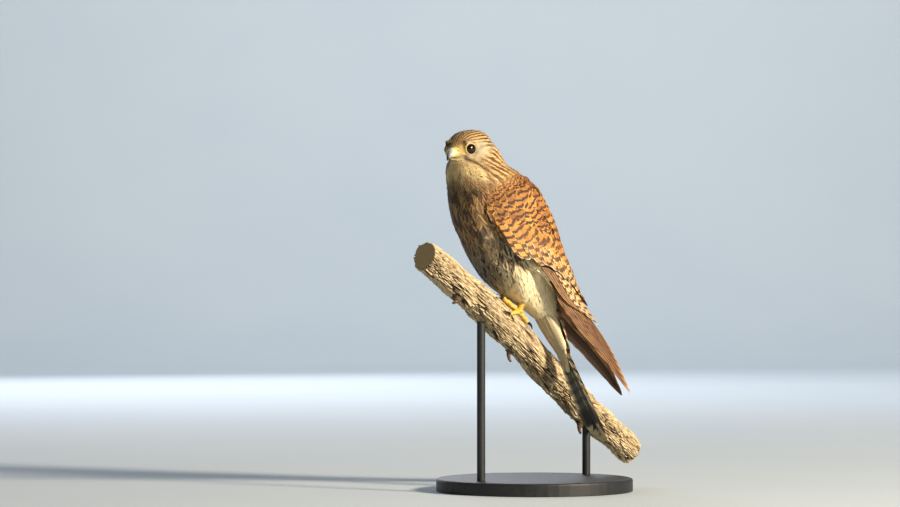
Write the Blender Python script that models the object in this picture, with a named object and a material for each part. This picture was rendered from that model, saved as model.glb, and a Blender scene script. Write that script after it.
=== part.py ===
"""Common kestrel perched on a cut branch: a life-size display model on a stand.

All sizes are in millimetres, and become metres where a mesh is made. The world
has +Z up, and its origin is the middle of the base's underside.

The bird's frame has X forward, Y to its left and Z up. Its body frame, tilted with
the trunk, has s from tail to head, t from belly to back and l to the left. The
head's frame has X towards the bill, Y to the left and Z up, from between the eyes.
"""

import math
import random
from collections import namedtuple

import bmesh
import bpy
from mathutils import Matrix, Vector

MM = 0.001
GAP = 0.3  # between nodes that meet face to face
VARIETY = 14  # seed for the small differences between feathers

# Where the bird sits, and how it is turned
BIRD_AT = Vector((-22.1, -20.0, 179.5))  # between the feet, at the bark
BIRD_YAW = 22.0  # from a left profile towards the viewer
BODY_LEAN = 65.0  # the trunk's line above the horizontal
HEAD_AT = Vector((57.5, 7.2, 148.8))  # between the eyes, in the bird's frame
HEAD_YAW = 37.0  # the head's turn to the left of the body

# The trunk and neck: s, t of the middle, tilt, depth to back and to belly, half-width at back and belly
TRUNK = (
    (-24.0, 29.0, 0.0, 13.0, 13.0, 13.0, 13.0),
    (-12.0, 28.0, 0.0, 18.0, 18.5, 17.0, 17.0),
    (0.0, 26.0, 0.0, 24.0, 24.0, 21.0, 22.0),
    (15.0, 23.0, 0.0, 31.0, 31.0, 26.0, 28.0),
    (30.0, 21.0, 0.0, 36.0, 36.5, 29.0, 33.5),
    (50.0, 20.0, 0.0, 42.0, 40.0, 31.5, 37.0),
    (75.0, 20.0, 0.0, 46.0, 41.5, 32.5, 38.0),
    (92.0, 20.0, 2.0, 45.5, 41.5, 33.0, 37.5),
    (104.0, 20.5, 6.0, 43.5, 40.0, 34.0, 37.0),
    (116.0, 22.5, 13.0, 40.5, 37.5, 34.0, 35.5),
    (126.0, 25.0, 20.0, 36.5, 36.5, 32.5, 32.5),
    (137.5, 22.2, 25.0, 31.5, 29.5, 28.0, 28.0),
    (147.0, 27.0, 25.0, 25.0, 20.0, 23.0, 22.0),
    (156.0, 30.0, 25.0, 20.0, 6.0, 18.5, 17.0),
    (163.0, 33.0, 25.0, 12.0, 4.0, 12.0, 11.0),
)
NECK_FROM = 121.0  # s where the trunk ends and the neck begins
TRUNK_SIDES = 26
TRUNK_STEP = 8.6

# The head: x, z of the crown, z of the throat, half-width
HEAD = (
    (-41.0, 8.0, -7.0, 6.5),
    (-37.5, 14.5, -12.0, 13.5),
    (-30.0, 18.9, -17.0, 19.3),
    (-21.0, 19.4, -19.0, 21.4),
    (-12.0, 18.2, -19.0, 20.4),
    (-5.0, 16.2, -17.5, 17.8),
    (1.0, 12.6, -16.0, 14.8),
    (6.0, 8.0, -14.0, 11.0),
    (10.0, 3.0, -12.0, 7.4),
    (12.5, -1.5, -10.0, 4.0),
)
HEAD_FULLNESS = 0.88  # below 1 squares the head's section
HEAD_SIDES = 24
HEAD_STEP = 3.8
EYE_AT = Vector((-0.5, 10.2, 0.0))
EYE_RADIUS = 6.4
EYE_AIM = 60.0  # from straight ahead
LID_RISE = 4.7  # of the lid's ring, from the eye's middle
LID_RING = 5.4
LID_THICK = 1.15
LID_CLEAR = 2.6  # round the eyeball, for what lies beside the lids
BROW_AT = Vector((0.8, 12.2, 6.9))
BROW_SIZE = Vector((8.2, 3.4, 2.4))
BROW_TURN = 18.0
MOUTH_Z = -8.6
MOUTH_HEIGHT = 0.6
MOUTH_BACK = 3.0

# The bill's upper half: x, z of its middle line, half-depth, half-width
BILL_UPPER = (
    (6.0, -3.6, 4.9, 5.9),
    (9.5, -3.4, 5.1, 5.7),
    (13.0, -3.6, 4.7, 4.9),
    (16.5, -4.7, 3.9, 3.7),
    (19.3, -6.5, 2.9, 2.5),
    (21.2, -8.8, 1.7, 1.4),
    (22.3, -11.4, 0.35, 0.35),
)
BILL_LOWER = (
    (6.0, -10.6, 1.9, 5.2),
    (10.0, -10.6, 1.8, 4.6),
    (14.0, -10.5, 1.5, 3.4),
    (17.0, -10.2, 1.0, 1.9),
    (18.2, -10.0, 0.5, 0.8),
)
BILL_SIDES = 14
BILL_STEP = 1.8
NOSTRIL_AT = Vector((11.2, 4.9, -2.2))
NOSTRIL_RADIUS = 1.0

# The closed wing's form under its outer feathers: s, t of the middle, depth to the back, half-width
WING_FORM = (
    (-135.0, 67.0, 11.0, 16.0),
    (-101.0, 54.5, 23.0, 19.5),
    (-80.0, 48.5, 25.5, 22.5),
    (-50.0, 39.5, 26.5, 26.0),
    (-16.0, 31.0, 28.8, 30.5),
    (10.0, 26.0, 34.6, 35.0),
    (30.0, 22.0, 42.6, 37.0),
    (50.0, 20.0, 49.5, 38.0),
    (70.0, 20.0, 51.0, 38.5),
    (90.0, 20.0, 50.5, 38.5),
    (105.0, 21.0, 46.0, 37.5),
    (118.0, 24.0, 38.5, 34.0),
)
WING_END_SLOPE = 0.2  # of the form's middle beyond its last station
# The wing's core: s, angle of its lower edge, angle of its upper edge, lift, thickness
WING_CORE = (
    (-16.0, 68.0, 8.0, -4.0, 2.5),
    (-4.0, 74.0, 6.0, -2.5, 4.0),
    (10.0, 81.0, 3.0, -1.0, 6.0),
    (30.0, 89.0, 3.0, 0.0, 9.0),
    (50.0, 99.0, 9.0, 0.0, 13.0),
    (78.0, 110.0, 21.0, 0.0, 14.0),
    (100.0, 113.0, 32.0, 0.0, 13.0),
    (107.0, 112.0, 38.0, -3.0, 12.0),
    (114.0, 108.0, 46.0, -11.0, 6.0),
)
CORE_STEP = 9.0
CORE_ARC = 9

# Tiers of the closed wing's feathers. Each runs from its first feather, at the lower
# edge, to its last, at the back, and a pair holds the values of those two: the tip's s,
# the tip's angle, the root's angle, length, width and lift. The root lies under that by sink.
Tier = namedtuple("Tier", "name count tip_s tip_angle root_angle length width lift sink rows taper")
WING_TIERS = (
    Tier("primary", 6, tip_s=(-136.0, -68.0), tip_angle=(53.0, 23.0), root_angle=(74.0, 47.0),
         length=(152.0, 102.0), width=(15.0, 16.0), lift=(-3.4, 0.6), sink=2.6, rows=4, taper=0.45),
    Tier("secondary", 5, tip_s=(-24.0, -58.0), tip_angle=(61.0, 20.0), root_angle=(77.0, 42.0),
         length=(64.0, 90.0), width=(15.0, 15.0), lift=(2.5, 4.0), sink=5.4, rows=3, taper=0.6),
    Tier("tertial", 3, tip_s=(-10.0, -30.0), tip_angle=(37.0, 16.0), root_angle=(44.0, 18.0),
         length=(50.0, 62.0), width=(16.0, 16.0), lift=(5.9, 6.5), sink=8.4, rows=3, taper=0.65),
    Tier("greater_covert", 5, tip_s=(40.0, -2.0), tip_angle=(93.0, 50.0), root_angle=(98.0, 53.0),
         length=(32.0, 44.0), width=(17.0, 17.0), lift=(4.2, 5.6), sink=7.0, rows=3, taper=0.65),
)
LEAD_PRIMARY_SHORTER = 6.0  # than the next one
WING_TIP_SHIFT = {1: 2.5, -1: -2.0}  # of the primaries' tips along s
VANE_THICKNESS = 0.65
VANE_TILT = 0.15  # the fall from a vane's lower edge to its upper one
VANE_RISE = 20.0  # the length over which a vane comes up out of the core
VANE_CAMBER = 0.05
VANE_TIP = 1.1  # half-width at the very tip
VANE_CROWD = 2.2  # above 1 sets a vane's stations closer at its tip

# The tail
TAIL_AT = (-24.0, 29.0)  # s and t of its root
TAIL_PITCH = 4.0  # below the trunk's line
TAIL_YAW = 13.5  # to the left
TAIL_ROLL = 8.0  # its left edge turned to the back
TAIL_STUB = ((-3.0, 12.8, 12.8), (10.0, 9.5, 12.3), (22.0, 6.0, 11.0), (36.0, 3.6, 8.5), (46.0, 2.6, 7.0))
TAIL_PAIRS = 6
TAIL_LENGTH = 136.0
TAIL_GRADE = 15.0  # how much shorter the outermost pair is
TAIL_ROOT = 12.0  # where the vanes begin, inside the stub
TAIL_WIDTH = 14.0
TAIL_CROSS = 6.0  # how far the middle pair crosses the middle line
TAIL_INNER = 0.7  # step between the inner edges of the other pairs
TAIL_ROOT_HALF = 8.0
TAIL_SPREAD = 1.7  # step between outer edges at the tips
TAIL_LAYER = 0.95  # each pair lies this much below the last
TAIL_ROOF = 0.22  # fall from the middle line to each side
TAIL_COVERTS = 3
TAIL_COVERT_LONG = 44.0
TAIL_UNDER_LONG = 60.0
TAIL_COVERT_FAN = 0.9
TAIL_COVERT_LIFT = 1.3
TAIL_COVERT_WIDTH = 13.0
TAIL_COVERT_SINK = 3.4

# The perch: x, z of its middle line, radius
PERCH = (
    (-105.5, 226.5, 14.6),
    (-72.0, 198.7, 15.6),
    (-33.6, 163.2, 16.1),
    (-14.4, 144.0, 15.8),
    (4.8, 122.0, 15.1),
    (43.0, 83.5, 15.9),
    (70.0, 58.5, 14.8),
    (97.0, 34.0, 14.3),
)
PERCH_TURN = 46.0  # its plan line, from across the view to away from the viewer
PERCH_SIDES = 20
PERCH_STEP = 7.0
# Knots and stubs: x, angle round the branch, height, spread
KNOTS = (
    (-66.0, 150.0, 6.0, 7.0),
    (-31.0, 165.0, 5.0, 6.0),
    (40.0, 150.0, 6.5, 8.0),
    (63.0, -120.0, 3.0, 9.0),
)

# Legs
FOOT_X = {1: -29.0, -1: -34.0}  # along the perch
FOOT_ANGLES = {1: 30.0, -1: -32.0}  # round the perch from its top line
BALL_LIFT = 3.4
HEEL = Vector((-13.0, 13.0, 22.0))
TARSUS_RADIUS = 2.7
THIGH = (
    (Vector((3.0, 16.5, 40.0)), 13.0),
    (Vector((0.0, 17.0, 29.0)), 14.5),
    (Vector((-4.0, 16.0, 18.0)), 13.0),
    (Vector((-6.0, 13.0, 8.0)), 9.0),
    (Vector((-6.0, 11.0, 2.0)), 4.5),
)
# Toes: reach along the perch, turn round it (outwards is positive), radius
TOES = {
    "inner": (16.0, -23.0, 2.0),
    "middle": (25.0, -2.0, 2.3),
    "outer": (17.0, 48.0, 2.0),
    "hind": (-13.0, 12.0, 2.3),
}
CLAW_REACH = 8.6
CLAW_RISE = 2.4
CLAW_BASE_LIFT = 0.5
CLAW_TIP_LIFT = 0.6
CLAW_START = 0.8  # beyond the end of its toe
CLAW_RADIUS = 1.55
CLAW_TURN = 0.3  # of its toe's turn round the perch

# The stand
BASE_RADIUS = 95.0
BASE_HEIGHT = 12.0
BASE_EDGE = 2.0
BASE_SIDES = 56
ROD_RADIUS = 4.0
ROD_X = (-52.0, 52.0)

# Colours, linear, with roughness
FINISHES = {
    "back_plumage": ((0.36, 0.17, 0.07), 0.85),
    "breast_plumage": ((0.55, 0.40, 0.25), 0.9),
    "pale_plumage": ((0.66, 0.54, 0.38), 0.9),
    "flight_feather": ((0.10, 0.06, 0.04), 0.8),
    "tail_feather": ((0.45, 0.33, 0.20), 0.8),
    "eye": ((0.01, 0.006, 0.004), 0.08),
    "bill_horn": ((0.28, 0.27, 0.26), 0.4),
    "leg_skin": ((0.75, 0.42, 0.05), 0.55),
    "claw_horn": ((0.015, 0.013, 0.012), 0.35),
    "bark": ((0.38, 0.27, 0.17), 0.9),
    "stand_metal": ((0.03, 0.03, 0.03), 0.45),
}


def clear_scene():
    for thing in list(bpy.data.objects):
        bpy.data.objects.remove(thing, do_unlink=True)


def material(name):
    found = bpy.data.materials.get(name)
    if found:
        return found
    colour, roughness = FINISHES[name]
    made = bpy.data.materials.new(name)
    made.use_nodes = True
    shader = made.node_tree.nodes["Principled BSDF"]
    shader.inputs["Base Color"].default_value = (*colour, 1.0)
    shader.inputs["Roughness"].default_value = roughness
    shader.inputs["Metallic"].default_value = 0.0
    return made


# Curves through named stations


def read_curve(rows, key):
    """Read the values at a key, on a smooth curve through rows of (key, value, ...)."""
    keys = [row[0] for row in rows]
    key = min(max(key, keys[0]), keys[-1])
    index = max(i for i in range(len(keys) - 1) if keys[i] <= key)
    span = keys[index + 1] - keys[index]
    x = (key - keys[index]) / span
    values = []
    for column in range(1, len(rows[0])):
        slopes = []
        for at in (index, index + 1):
            before = max(at - 1, 0)
            after = min(at + 1, len(rows) - 1)
            slopes.append((rows[after][column] - rows[before][column]) / (keys[after] - keys[before]))
        start = rows[index][column]
        end = rows[index + 1][column]
        values.append(
            (2 * x**3 - 3 * x**2 + 1) * start
            + (x**3 - 2 * x**2 + x) * span * slopes[0]
            + (3 * x**2 - 2 * x**3) * end
            + (x**3 - x**2) * span * slopes[1]
        )
    return values


def stations(start, end, step):
    """Even stations from start to end, about a step apart."""
    count = max(round(abs(end - start) / step), 1)
    return [start + (end - start) * i / count for i in range(count + 1)]


def smoothstep(low, high, x):
    x = min(max((x - low) / (high - low), 0.0), 1.0)
    return x * x * (3.0 - 2.0 * x)


# Frames


def body_point(s, t, l):
    """A point of the body frame, in the bird's frame."""
    lean = math.radians(BODY_LEAN)
    return Vector((
        s * math.cos(lean) - t * math.sin(lean),
        l,
        s * math.sin(lean) + t * math.cos(lean),
    ))


def bird_matrix():
    return Matrix.Translation(BIRD_AT) @ Matrix.Rotation(math.radians(180.0 + BIRD_YAW), 4, "Z")


# Closed meshes


def new_object(name, points, faces, finish):
    """Make an object from points in millimetres and faces that close it."""
    mesh = bpy.data.meshes.new(name)
    mesh.from_pydata([Vector(p) * MM for p in points], [], faces)
    work = bmesh.new()
    work.from_mesh(mesh)
    bmesh.ops.recalc_face_normals(work, faces=work.faces)
    work.to_mesh(mesh)
    work.free()
    made = bpy.data.objects.new(name, mesh)
    made.data.materials.append(material(finish))
    bpy.context.scene.collection.objects.link(made)
    return made


def loft(name, rings, finish):
    """Join rings of equal size by quads, and close both ends with a fan."""
    size = len(rings[0])
    points = [p for ring in rings for p in ring]
    faces = []
    for i in range(len(rings) - 1):
        for j in range(size):
            k = (j + 1) % size
            faces.append((i * size + j, i * size + k, (i + 1) * size + k, (i + 1) * size + j))
    for first, ring in ((0, rings[0]), ((len(rings) - 1) * size, rings[-1])):
        middle = sum((Vector(p) for p in ring), Vector()) / size
        points.append(middle)
        for j in range(size):
            faces.append((first + j, first + (j + 1) % size, len(points) - 1))
    return new_object(name, points, faces, finish)


def ellipsoid(name, middle, size, finish, rows=10, sides=16, turn=0.0):
    """An ellipsoid turned about Z by an angle in degrees."""
    spin = Matrix.Rotation(math.radians(turn), 3, "Z")
    rings = []
    for i in range(1, rows):
        polar = math.pi * i / rows
        ring = []
        for j in range(sides):
            around = math.tau * j / sides
            ring.append(middle + spin @ Vector((
                size[0] * math.sin(polar) * math.cos(around),
                size[1] * math.sin(polar) * math.sin(around),
                size[2] * math.cos(polar),
            )))
        rings.append(ring)
    return loft(name, rings, finish)


def tube(name, points, radii, finish, sides=10):
    """A round tube along points, with a radius at each."""
    rings = []
    last = None
    for i, point in enumerate(points):
        ahead = points[min(i + 1, len(points) - 1)]
        behind = points[max(i - 1, 0)]
        along = (ahead - behind).normalized()
        if last is None:
            last = along.orthogonal().normalized()
        across = (last - along * last.dot(along)).normalized()
        last = across
        other = along.cross(across)
        turns = [math.tau * j / sides for j in range(sides)]
        rings.append([point + radii[i] * (across * math.cos(a) + other * math.sin(a)) for a in turns])
    return loft(name, rings, finish)


def box(name, low, high, finish):
    x, y, z = zip(low, high)
    points = [(x[i], y[j], z[k]) for i in (0, 1) for j in (0, 1) for k in (0, 1)]
    faces = ((0, 1, 3, 2), (4, 6, 7, 5), (0, 4, 5, 1), (2, 3, 7, 6), (0, 2, 6, 4), (1, 5, 7, 3))
    return new_object(name, points, faces, finish)


# Boolean steps


def use_boolean(target, operation, others, solver="EXACT"):
    """Unite a target with others, or cut it by them, and remove them."""
    group = bpy.data.collections.new("pieces")
    bpy.context.scene.collection.children.link(group)
    for other in others:
        group.objects.link(other)
    modifier = target.modifiers.new("joined", "BOOLEAN")
    modifier.operation = operation
    modifier.operand_type = "COLLECTION"
    modifier.collection = group
    modifier.solver = solver
    bpy.context.view_layer.update()
    evaluated = target.evaluated_get(bpy.context.evaluated_depsgraph_get())
    result = bpy.data.meshes.new_from_object(evaluated)
    target.modifiers.remove(modifier)
    target.data = result
    for other in others:
        bpy.data.objects.remove(other, do_unlink=True)
    bpy.data.collections.remove(group)
    keep_largest(target)


def keep_largest(target):
    """Keep the closed surface that spans the most."""
    work = bmesh.new()
    work.from_mesh(target.data)
    unseen = set(work.faces)
    shells = []
    while unseen:
        shell = {unseen.pop()}
        edge = list(shell)
        while edge:
            face = edge.pop()
            for side in face.edges:
                for near in side.link_faces:
                    if near in unseen:
                        unseen.remove(near)
                        shell.add(near)
                        edge.append(near)
        shells.append(shell)
    shells.sort(key=lambda shell: sum(face.calc_area() for face in shell))
    scraps = [face for shell in shells[:-1] for face in shell]
    bmesh.ops.delete(work, geom=scraps, context="FACES")
    work.to_mesh(target.data)
    work.free()


def finish_object(target, parent):
    target.parent = parent
    target.data.shade_smooth()
    target.data.set_sharp_from_angle(angle=math.radians(40.0))
    return target


# The trunk, neck and head


def trunk_ring(s, grow=0.0):
    """The trunk's outline at a station, grown outwards."""
    middle, tilt, back, belly, back_width, belly_width = read_curve(TRUNK, s)
    tilt = math.radians(tilt)
    ring = []
    for j in range(TRUNK_SIDES):
        around = math.tau * j / TRUNK_SIDES
        up = math.cos(around)
        depth = back if up > 0 else belly
        width = belly_width + (back_width - belly_width) * smoothstep(-0.75, -0.05, up)
        reach = (depth + grow) * up
        ring.append(body_point(
            s - reach * math.sin(tilt),
            middle + reach * math.cos(tilt),
            (width + grow) * math.sin(around),
        ))
    return ring


def make_trunk(name, start, end, finish, grow=0.0):
    return loft(name, [trunk_ring(s, grow) for s in stations(start, end, TRUNK_STEP)], finish)


def fuller(x):
    return math.copysign(abs(x) ** HEAD_FULLNESS, x)


def head_ring(x, grow=0.0):
    crown, throat, width = read_curve(HEAD, x)
    middle = (crown + throat) / 2
    depth = (crown - throat) / 2
    ring = []
    for j in range(HEAD_SIDES):
        around = math.tau * j / HEAD_SIDES
        ring.append(Vector((
            x,
            (width + grow) * fuller(math.sin(around)),
            middle + (depth + grow) * fuller(math.cos(around)),
        )))
    return ring


def make_head_form(name, grow=0.0):
    rings = [head_ring(x, grow) for x in stations(HEAD[0][0], HEAD[-1][0], HEAD_STEP)]
    if grow:
        for ring, shift in ((rings[0], -grow), (rings[-1], grow)):
            for point in ring:
                point.x += shift
    return loft(name, rings, "back_plumage")


def eye_axis(side):
    aim = math.radians(EYE_AIM)
    return Vector((math.cos(aim), side * math.sin(aim), 0.0))


def mirrored(point, side):
    return Vector((point.x, point.y * side, point.z))


def make_eye(name, side, grow=0.0):
    size = [EYE_RADIUS + grow] * 3
    return ellipsoid(name, mirrored(EYE_AT, side), size, "eye", rows=10, sides=16)


def make_lid(side):
    """A ring round the eye's opening."""
    axis = eye_axis(side)
    across = Vector((0.0, 0.0, 1.0))
    other = axis.cross(across)
    middle = mirrored(EYE_AT, side) + axis * LID_RISE
    turns = 14
    rings = []
    for i in range(turns):
        around = math.tau * i / turns
        out = across * math.cos(around) + other * math.sin(around)
        ring = []
        for j in range(5):
            angle = math.tau * j / 5
            reach = LID_RING + LID_THICK * math.cos(angle)
            ring.append(middle + out * reach + axis * LID_THICK * math.sin(angle))
        rings.append(ring)
    points = [p for ring in rings for p in ring]
    faces = []
    for i in range(turns):
        for j in range(5):
            k = (j + 1) % 5
            n = (i + 1) % turns
            faces.append((i * 5 + j, i * 5 + k, n * 5 + k, n * 5 + j))
    return new_object("lid", points, faces, "leg_skin")


def bill_rings(rows):
    rings = []
    for x in stations(rows[0][0], rows[-1][0], BILL_STEP):
        middle, depth, width = read_curve(rows, x)
        angles = [math.tau * j / BILL_SIDES for j in range(BILL_SIDES)]
        rings.append([Vector((x, width * math.sin(a), middle + depth * math.cos(a))) for a in angles])
    return rings


def make_head(head_frame):
    """The head with its lids, brows, mouth line, eyes and bill."""
    upper = loft("bill_upper", bill_rings(BILL_UPPER), "bill_horn")
    lower = loft("bill_lower", bill_rings(BILL_LOWER), "bill_horn")
    below = box("below", (0.0, -9.0, -14.0), (18.7, 9.0, MOUTH_Z), "bill_horn")
    above = box("above", (0.0, -9.0, MOUTH_Z - GAP), (30.0, 9.0, 0.0), "bill_horn")
    nostrils = [
        ellipsoid("nostril", mirrored(NOSTRIL_AT, side), [NOSTRIL_RADIUS] * 3, "bill_horn", 6, 8)
        for side in (1, -1)
    ]
    use_boolean(upper, "DIFFERENCE", [make_head_form("fit", GAP), below, *nostrils])
    use_boolean(lower, "DIFFERENCE", [make_head_form("fit", GAP), above])

    head = make_head_form("head")
    added = [make_lid(side) for side in (1, -1)]
    for side in (1, -1):
        middle = mirrored(BROW_AT, side)
        added.append(ellipsoid("brow", middle, BROW_SIZE, "back_plumage", 8, 12, -BROW_TURN * side))
    use_boolean(head, "UNION", added)
    mouth = box("mouth", (MOUTH_BACK, -20.0, MOUTH_Z - MOUTH_HEIGHT), (20.0, 20.0, MOUTH_Z), "back_plumage")
    use_boolean(head, "DIFFERENCE", [make_eye("socket", 1, GAP), make_eye("socket", -1, GAP), mouth])
    for target in (upper, lower, head, make_eye("eye_left", 1), make_eye("eye_right", -1)):
        finish_object(target, head_frame)
    return head


def make_body(bird, head_frame):
    torso = make_trunk("torso", TRUNK[0][0], NECK_FROM, "breast_plumage")
    finish_object(torso, bird)
    neck = make_trunk("neck", NECK_FROM + GAP, TRUNK[-1][0], "back_plumage")
    finish_object(neck, bird)
    cutters = [make_head_form("fit", GAP), make_eye("clear", 1, LID_CLEAR), make_eye("clear", -1, LID_CLEAR)]
    for cutter in cutters:
        cutter.parent = head_frame
    use_boolean(neck, "DIFFERENCE", cutters)
    return torso


def make_trunk_fit():
    """The trunk grown by the gap, to cut what lies against it."""
    return make_trunk("fit", TRUNK[0][0] - 1.0, NECK_FROM + 20.0, "breast_plumage", GAP)


# The wings


def wing_point(s, angle, lift, side):
    """A point over the closed wing's form, and the outward direction there."""
    middle, depth, width = read_curve(WING_FORM, s)
    if s < WING_FORM[0][0]:
        middle += (WING_FORM[0][0] - s) * WING_END_SLOPE
    point = body_point(
        s,
        middle + (depth + lift) * math.cos(angle),
        side * (width + lift) * math.sin(angle),
    )
    out = body_point(0.0, math.cos(angle) / depth, side * math.sin(angle) / width)
    return point, out.normalized()


def make_wing_core(name, side, grow=0.0):
    rings = []
    for s in stations(WING_CORE[0][0], WING_CORE[-1][0], CORE_STEP):
        low, high, lift, thickness = read_curve(WING_CORE, s)
        low += 2.0 * grow
        lift += grow
        thickness += 2.0 * grow
        angles = [math.radians(low + (high - low) * i / (CORE_ARC - 1)) for i in range(CORE_ARC)]
        outer = [wing_point(s, angle, lift, side)[0] for angle in angles]
        inner = [wing_point(s, angle, lift - thickness, side)[0] for angle in reversed(angles)]
        rings.append(outer + inner)
    return loft(name, rings, "back_plumage")


def between(pair, share):
    return pair[0] + (pair[1] - pair[0]) * share


def vane_half_width(along, width, taper):
    """Half the width of a vane: narrow at the root, full, then rounded from taper to the tip."""
    root = 0.5 + 0.5 * smoothstep(0.0, 0.3, along)
    past = max(along - taper, 0.0) / (1.0 - taper)
    return max(width / 2 * root * math.sqrt(1.0 - past**2), VANE_TIP)


def make_vane(place, risen, rows, width, taper, finish):
    """A closed tapered vane, with both faces split into triangles alike.

    place(along, across) gives a point and the outward direction there: along runs
    from 0 at the root to 1 at the tip, by way of risen, and across is in millimetres.
    """
    points = []
    for i in range(rows + 1):
        past = 1.0 - (1.0 - max(i - 1, 0) / (rows - 1)) ** VANE_CROWD
        along = risen + (1.0 - risen) * past if i else 0.0
        half = vane_half_width(along, width, taper)
        depth = VANE_THICKNESS * (1.0 - 0.25 * along)
        for face in (0.5, -0.5):
            for across in (-1, 0, 1):
                point, out = place(along, across * half)
                lift = (1 - abs(across)) * half * VANE_CAMBER
                points.append(point + out * (face * depth + lift))
    faces = []
    for i in range(rows):
        for j in (0, 1):
            near = i * 6 + j
            far = near + 6
            faces += [(near, near + 1, far + 1), (near, far + 1, far)]
            faces += [(near + 3, far + 4, near + 4), (near + 3, far + 3, far + 4)]
        for j in (0, 2):
            near = i * 6 + j
            faces += [(near, near + 6, near + 9), (near, near + 9, near + 3)]
    for near in (0, rows * 6):
        for j in (0, 1):
            a = near + j
            faces += [(a, a + 4, a + 1), (a, a + 3, a + 4)]
    return new_object("vane", points, faces, finish)


def make_wing_vane(tier, index, side, draw):
    """One feather of a tier on the closed wing's form."""
    share = index / (tier.count - 1)
    tip_s = between(tier.tip_s, share) + draw.uniform(-1.2, 1.2)
    if tier.name == "primary":
        tip_s += WING_TIP_SHIFT[side]
        if index == 0:
            tip_s += LEAD_PRIMARY_SHORTER
    root_s = tip_s + between(tier.length, share)
    tip_angle = math.radians(between(tier.tip_angle, share))
    root_angle = math.radians(between(tier.root_angle, share))
    lift = between(tier.lift, share)

    def place(along, across):
        s = root_s + (tip_s - root_s) * along
        middle = root_angle + (tip_angle - root_angle) * along
        _, depth, width = read_curve(WING_FORM, s)
        arc = math.hypot(depth * math.sin(middle), width * math.cos(middle))
        rise = lift - tier.sink * max(1.0 - (root_s - s) / VANE_RISE, 0.0)
        return wing_point(s, middle - across / arc, rise - across * VANE_TILT, side)

    width = between(tier.width, share) * draw.uniform(0.96, 1.04)
    risen = VANE_RISE / (root_s - tip_s)
    return make_vane(place, risen, tier.rows, width, tier.taper, "flight_feather")


def make_wing(name, side, bird):
    """A closed wing: its core, with the feathers of every tier fused to it."""
    draw = random.Random(VARIETY + side)
    wing = make_wing_core(name, side)
    vanes = [make_wing_vane(tier, i, side, draw) for tier in WING_TIERS for i in range(tier.count)]
    use_boolean(wing, "UNION", vanes, "MANIFOLD")
    use_boolean(wing, "DIFFERENCE", [make_trunk_fit()])
    return finish_object(wing, bird)


# The tail


def tail_matrix():
    """The tail's frame: X along it, Y to the left, Z to the back."""
    along = body_point(-1.0, 0.0, 0.0)
    back = body_point(0.0, 1.0, 0.0)
    base = Matrix((
        (along.x, 0.0, back.x),
        (along.y, 1.0, back.y),
        (along.z, 0.0, back.z),
    )).to_4x4()
    turn = Matrix.Rotation(math.radians(TAIL_YAW), 4, "Z")
    turn @= Matrix.Rotation(math.radians(TAIL_PITCH), 4, "Y")
    turn @= Matrix.Rotation(math.radians(TAIL_ROLL), 4, "X")
    return Matrix.Translation(body_point(*TAIL_AT, 0.0)) @ base @ turn


def make_tail_vane(frame, rank, side, draw):
    """A tail feather, from the middle pair, rank 0, to the outermost."""
    share = rank / (TAIL_PAIRS - 1)
    length = TAIL_LENGTH - TAIL_GRADE * share**1.4 + draw.uniform(-0.8, 0.8)
    level = TAIL_LAYER * (TAIL_PAIRS / 2 - rank)
    if rank == 0 and side < 0:
        level += TAIL_LAYER

    def place(along, across):
        part = across / (TAIL_WIDTH / 2)
        inner = -TAIL_CROSS if rank == 0 else TAIL_INNER * rank
        outer = TAIL_ROOT_HALF + TAIL_SPREAD * rank * smoothstep(0.0, 1.0, along)
        y = (outer + inner) / 2 + part * (outer - inner) / 2
        point = Vector((TAIL_ROOT + (length - TAIL_ROOT) * along, side * y, level - abs(y) * TAIL_ROOF))
        return frame @ point, (frame.to_3x3() @ Vector((0.0, side * TAIL_ROOF, 1.0))).normalized()

    return make_vane(place, 0.3, 4, TAIL_WIDTH, 0.75, "tail_feather")


def make_tail_covert(frame, index, above, draw):
    """A covert over or under the tail's root, with its tip on the stub."""
    share = index / (TAIL_COVERTS - 1) * 2.0 - 1.0
    length = TAIL_COVERT_LONG if above else TAIL_UNDER_LONG
    length = length * (1.0 - 0.25 * share**2) + draw.uniform(-1.5, 1.5)
    sign = 1.0 if above else -1.0

    def place(along, across):
        x = -6.0 + (length + 6.0) * along
        _, depth, width = (0.0, *read_curve(TAIL_STUB, x))
        around = share * TAIL_COVERT_FAN * (1.0 - 0.35 * along) + across / max(width, 6.0)
        lift = TAIL_COVERT_LIFT + (index % 2) * TAIL_LAYER - TAIL_COVERT_SINK * max(1.0 - 2.0 * along, 0.0)
        out = Vector((0.0, math.sin(around) / width, sign * math.cos(around) / depth)).normalized()
        point = Vector((x, (width + lift) * math.sin(around), sign * (depth + lift) * math.cos(around)))
        return frame @ point, frame.to_3x3() @ out

    return make_vane(place, 0.5, 3, TAIL_COVERT_WIDTH, 0.6, "tail_feather")


def make_tail(bird):
    """The tail: a stub with its coverts and the roof of long feathers fused to it."""
    draw = random.Random(VARIETY)
    frame = tail_matrix()
    rings = []
    for x in stations(TAIL_STUB[0][0], TAIL_STUB[-1][0], 6.0):
        depth, width = read_curve(TAIL_STUB, x)
        rings.append([
            frame @ Vector((x, width * math.sin(math.tau * j / 16), depth * math.cos(math.tau * j / 16)))
            for j in range(16)
        ])
    tail = loft("tail", rings, "tail_feather")
    vanes = [make_tail_vane(frame, rank, side, draw) for rank in range(TAIL_PAIRS) for side in (1, -1)]
    for above in (True, False):
        vanes += [make_tail_covert(frame, i, above, draw) for i in range(TAIL_COVERTS)]
    use_boolean(tail, "UNION", vanes, "MANIFOLD")
    use_boolean(tail, "DIFFERENCE", [make_trunk_fit()])
    return finish_object(tail, bird)


# The perch


def perch_middle(x):
    z, radius = read_curve(PERCH, x)
    y = BIRD_AT.y + (x - BIRD_AT.x) * math.tan(math.radians(PERCH_TURN))
    return Vector((x, y, z)), radius


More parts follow.
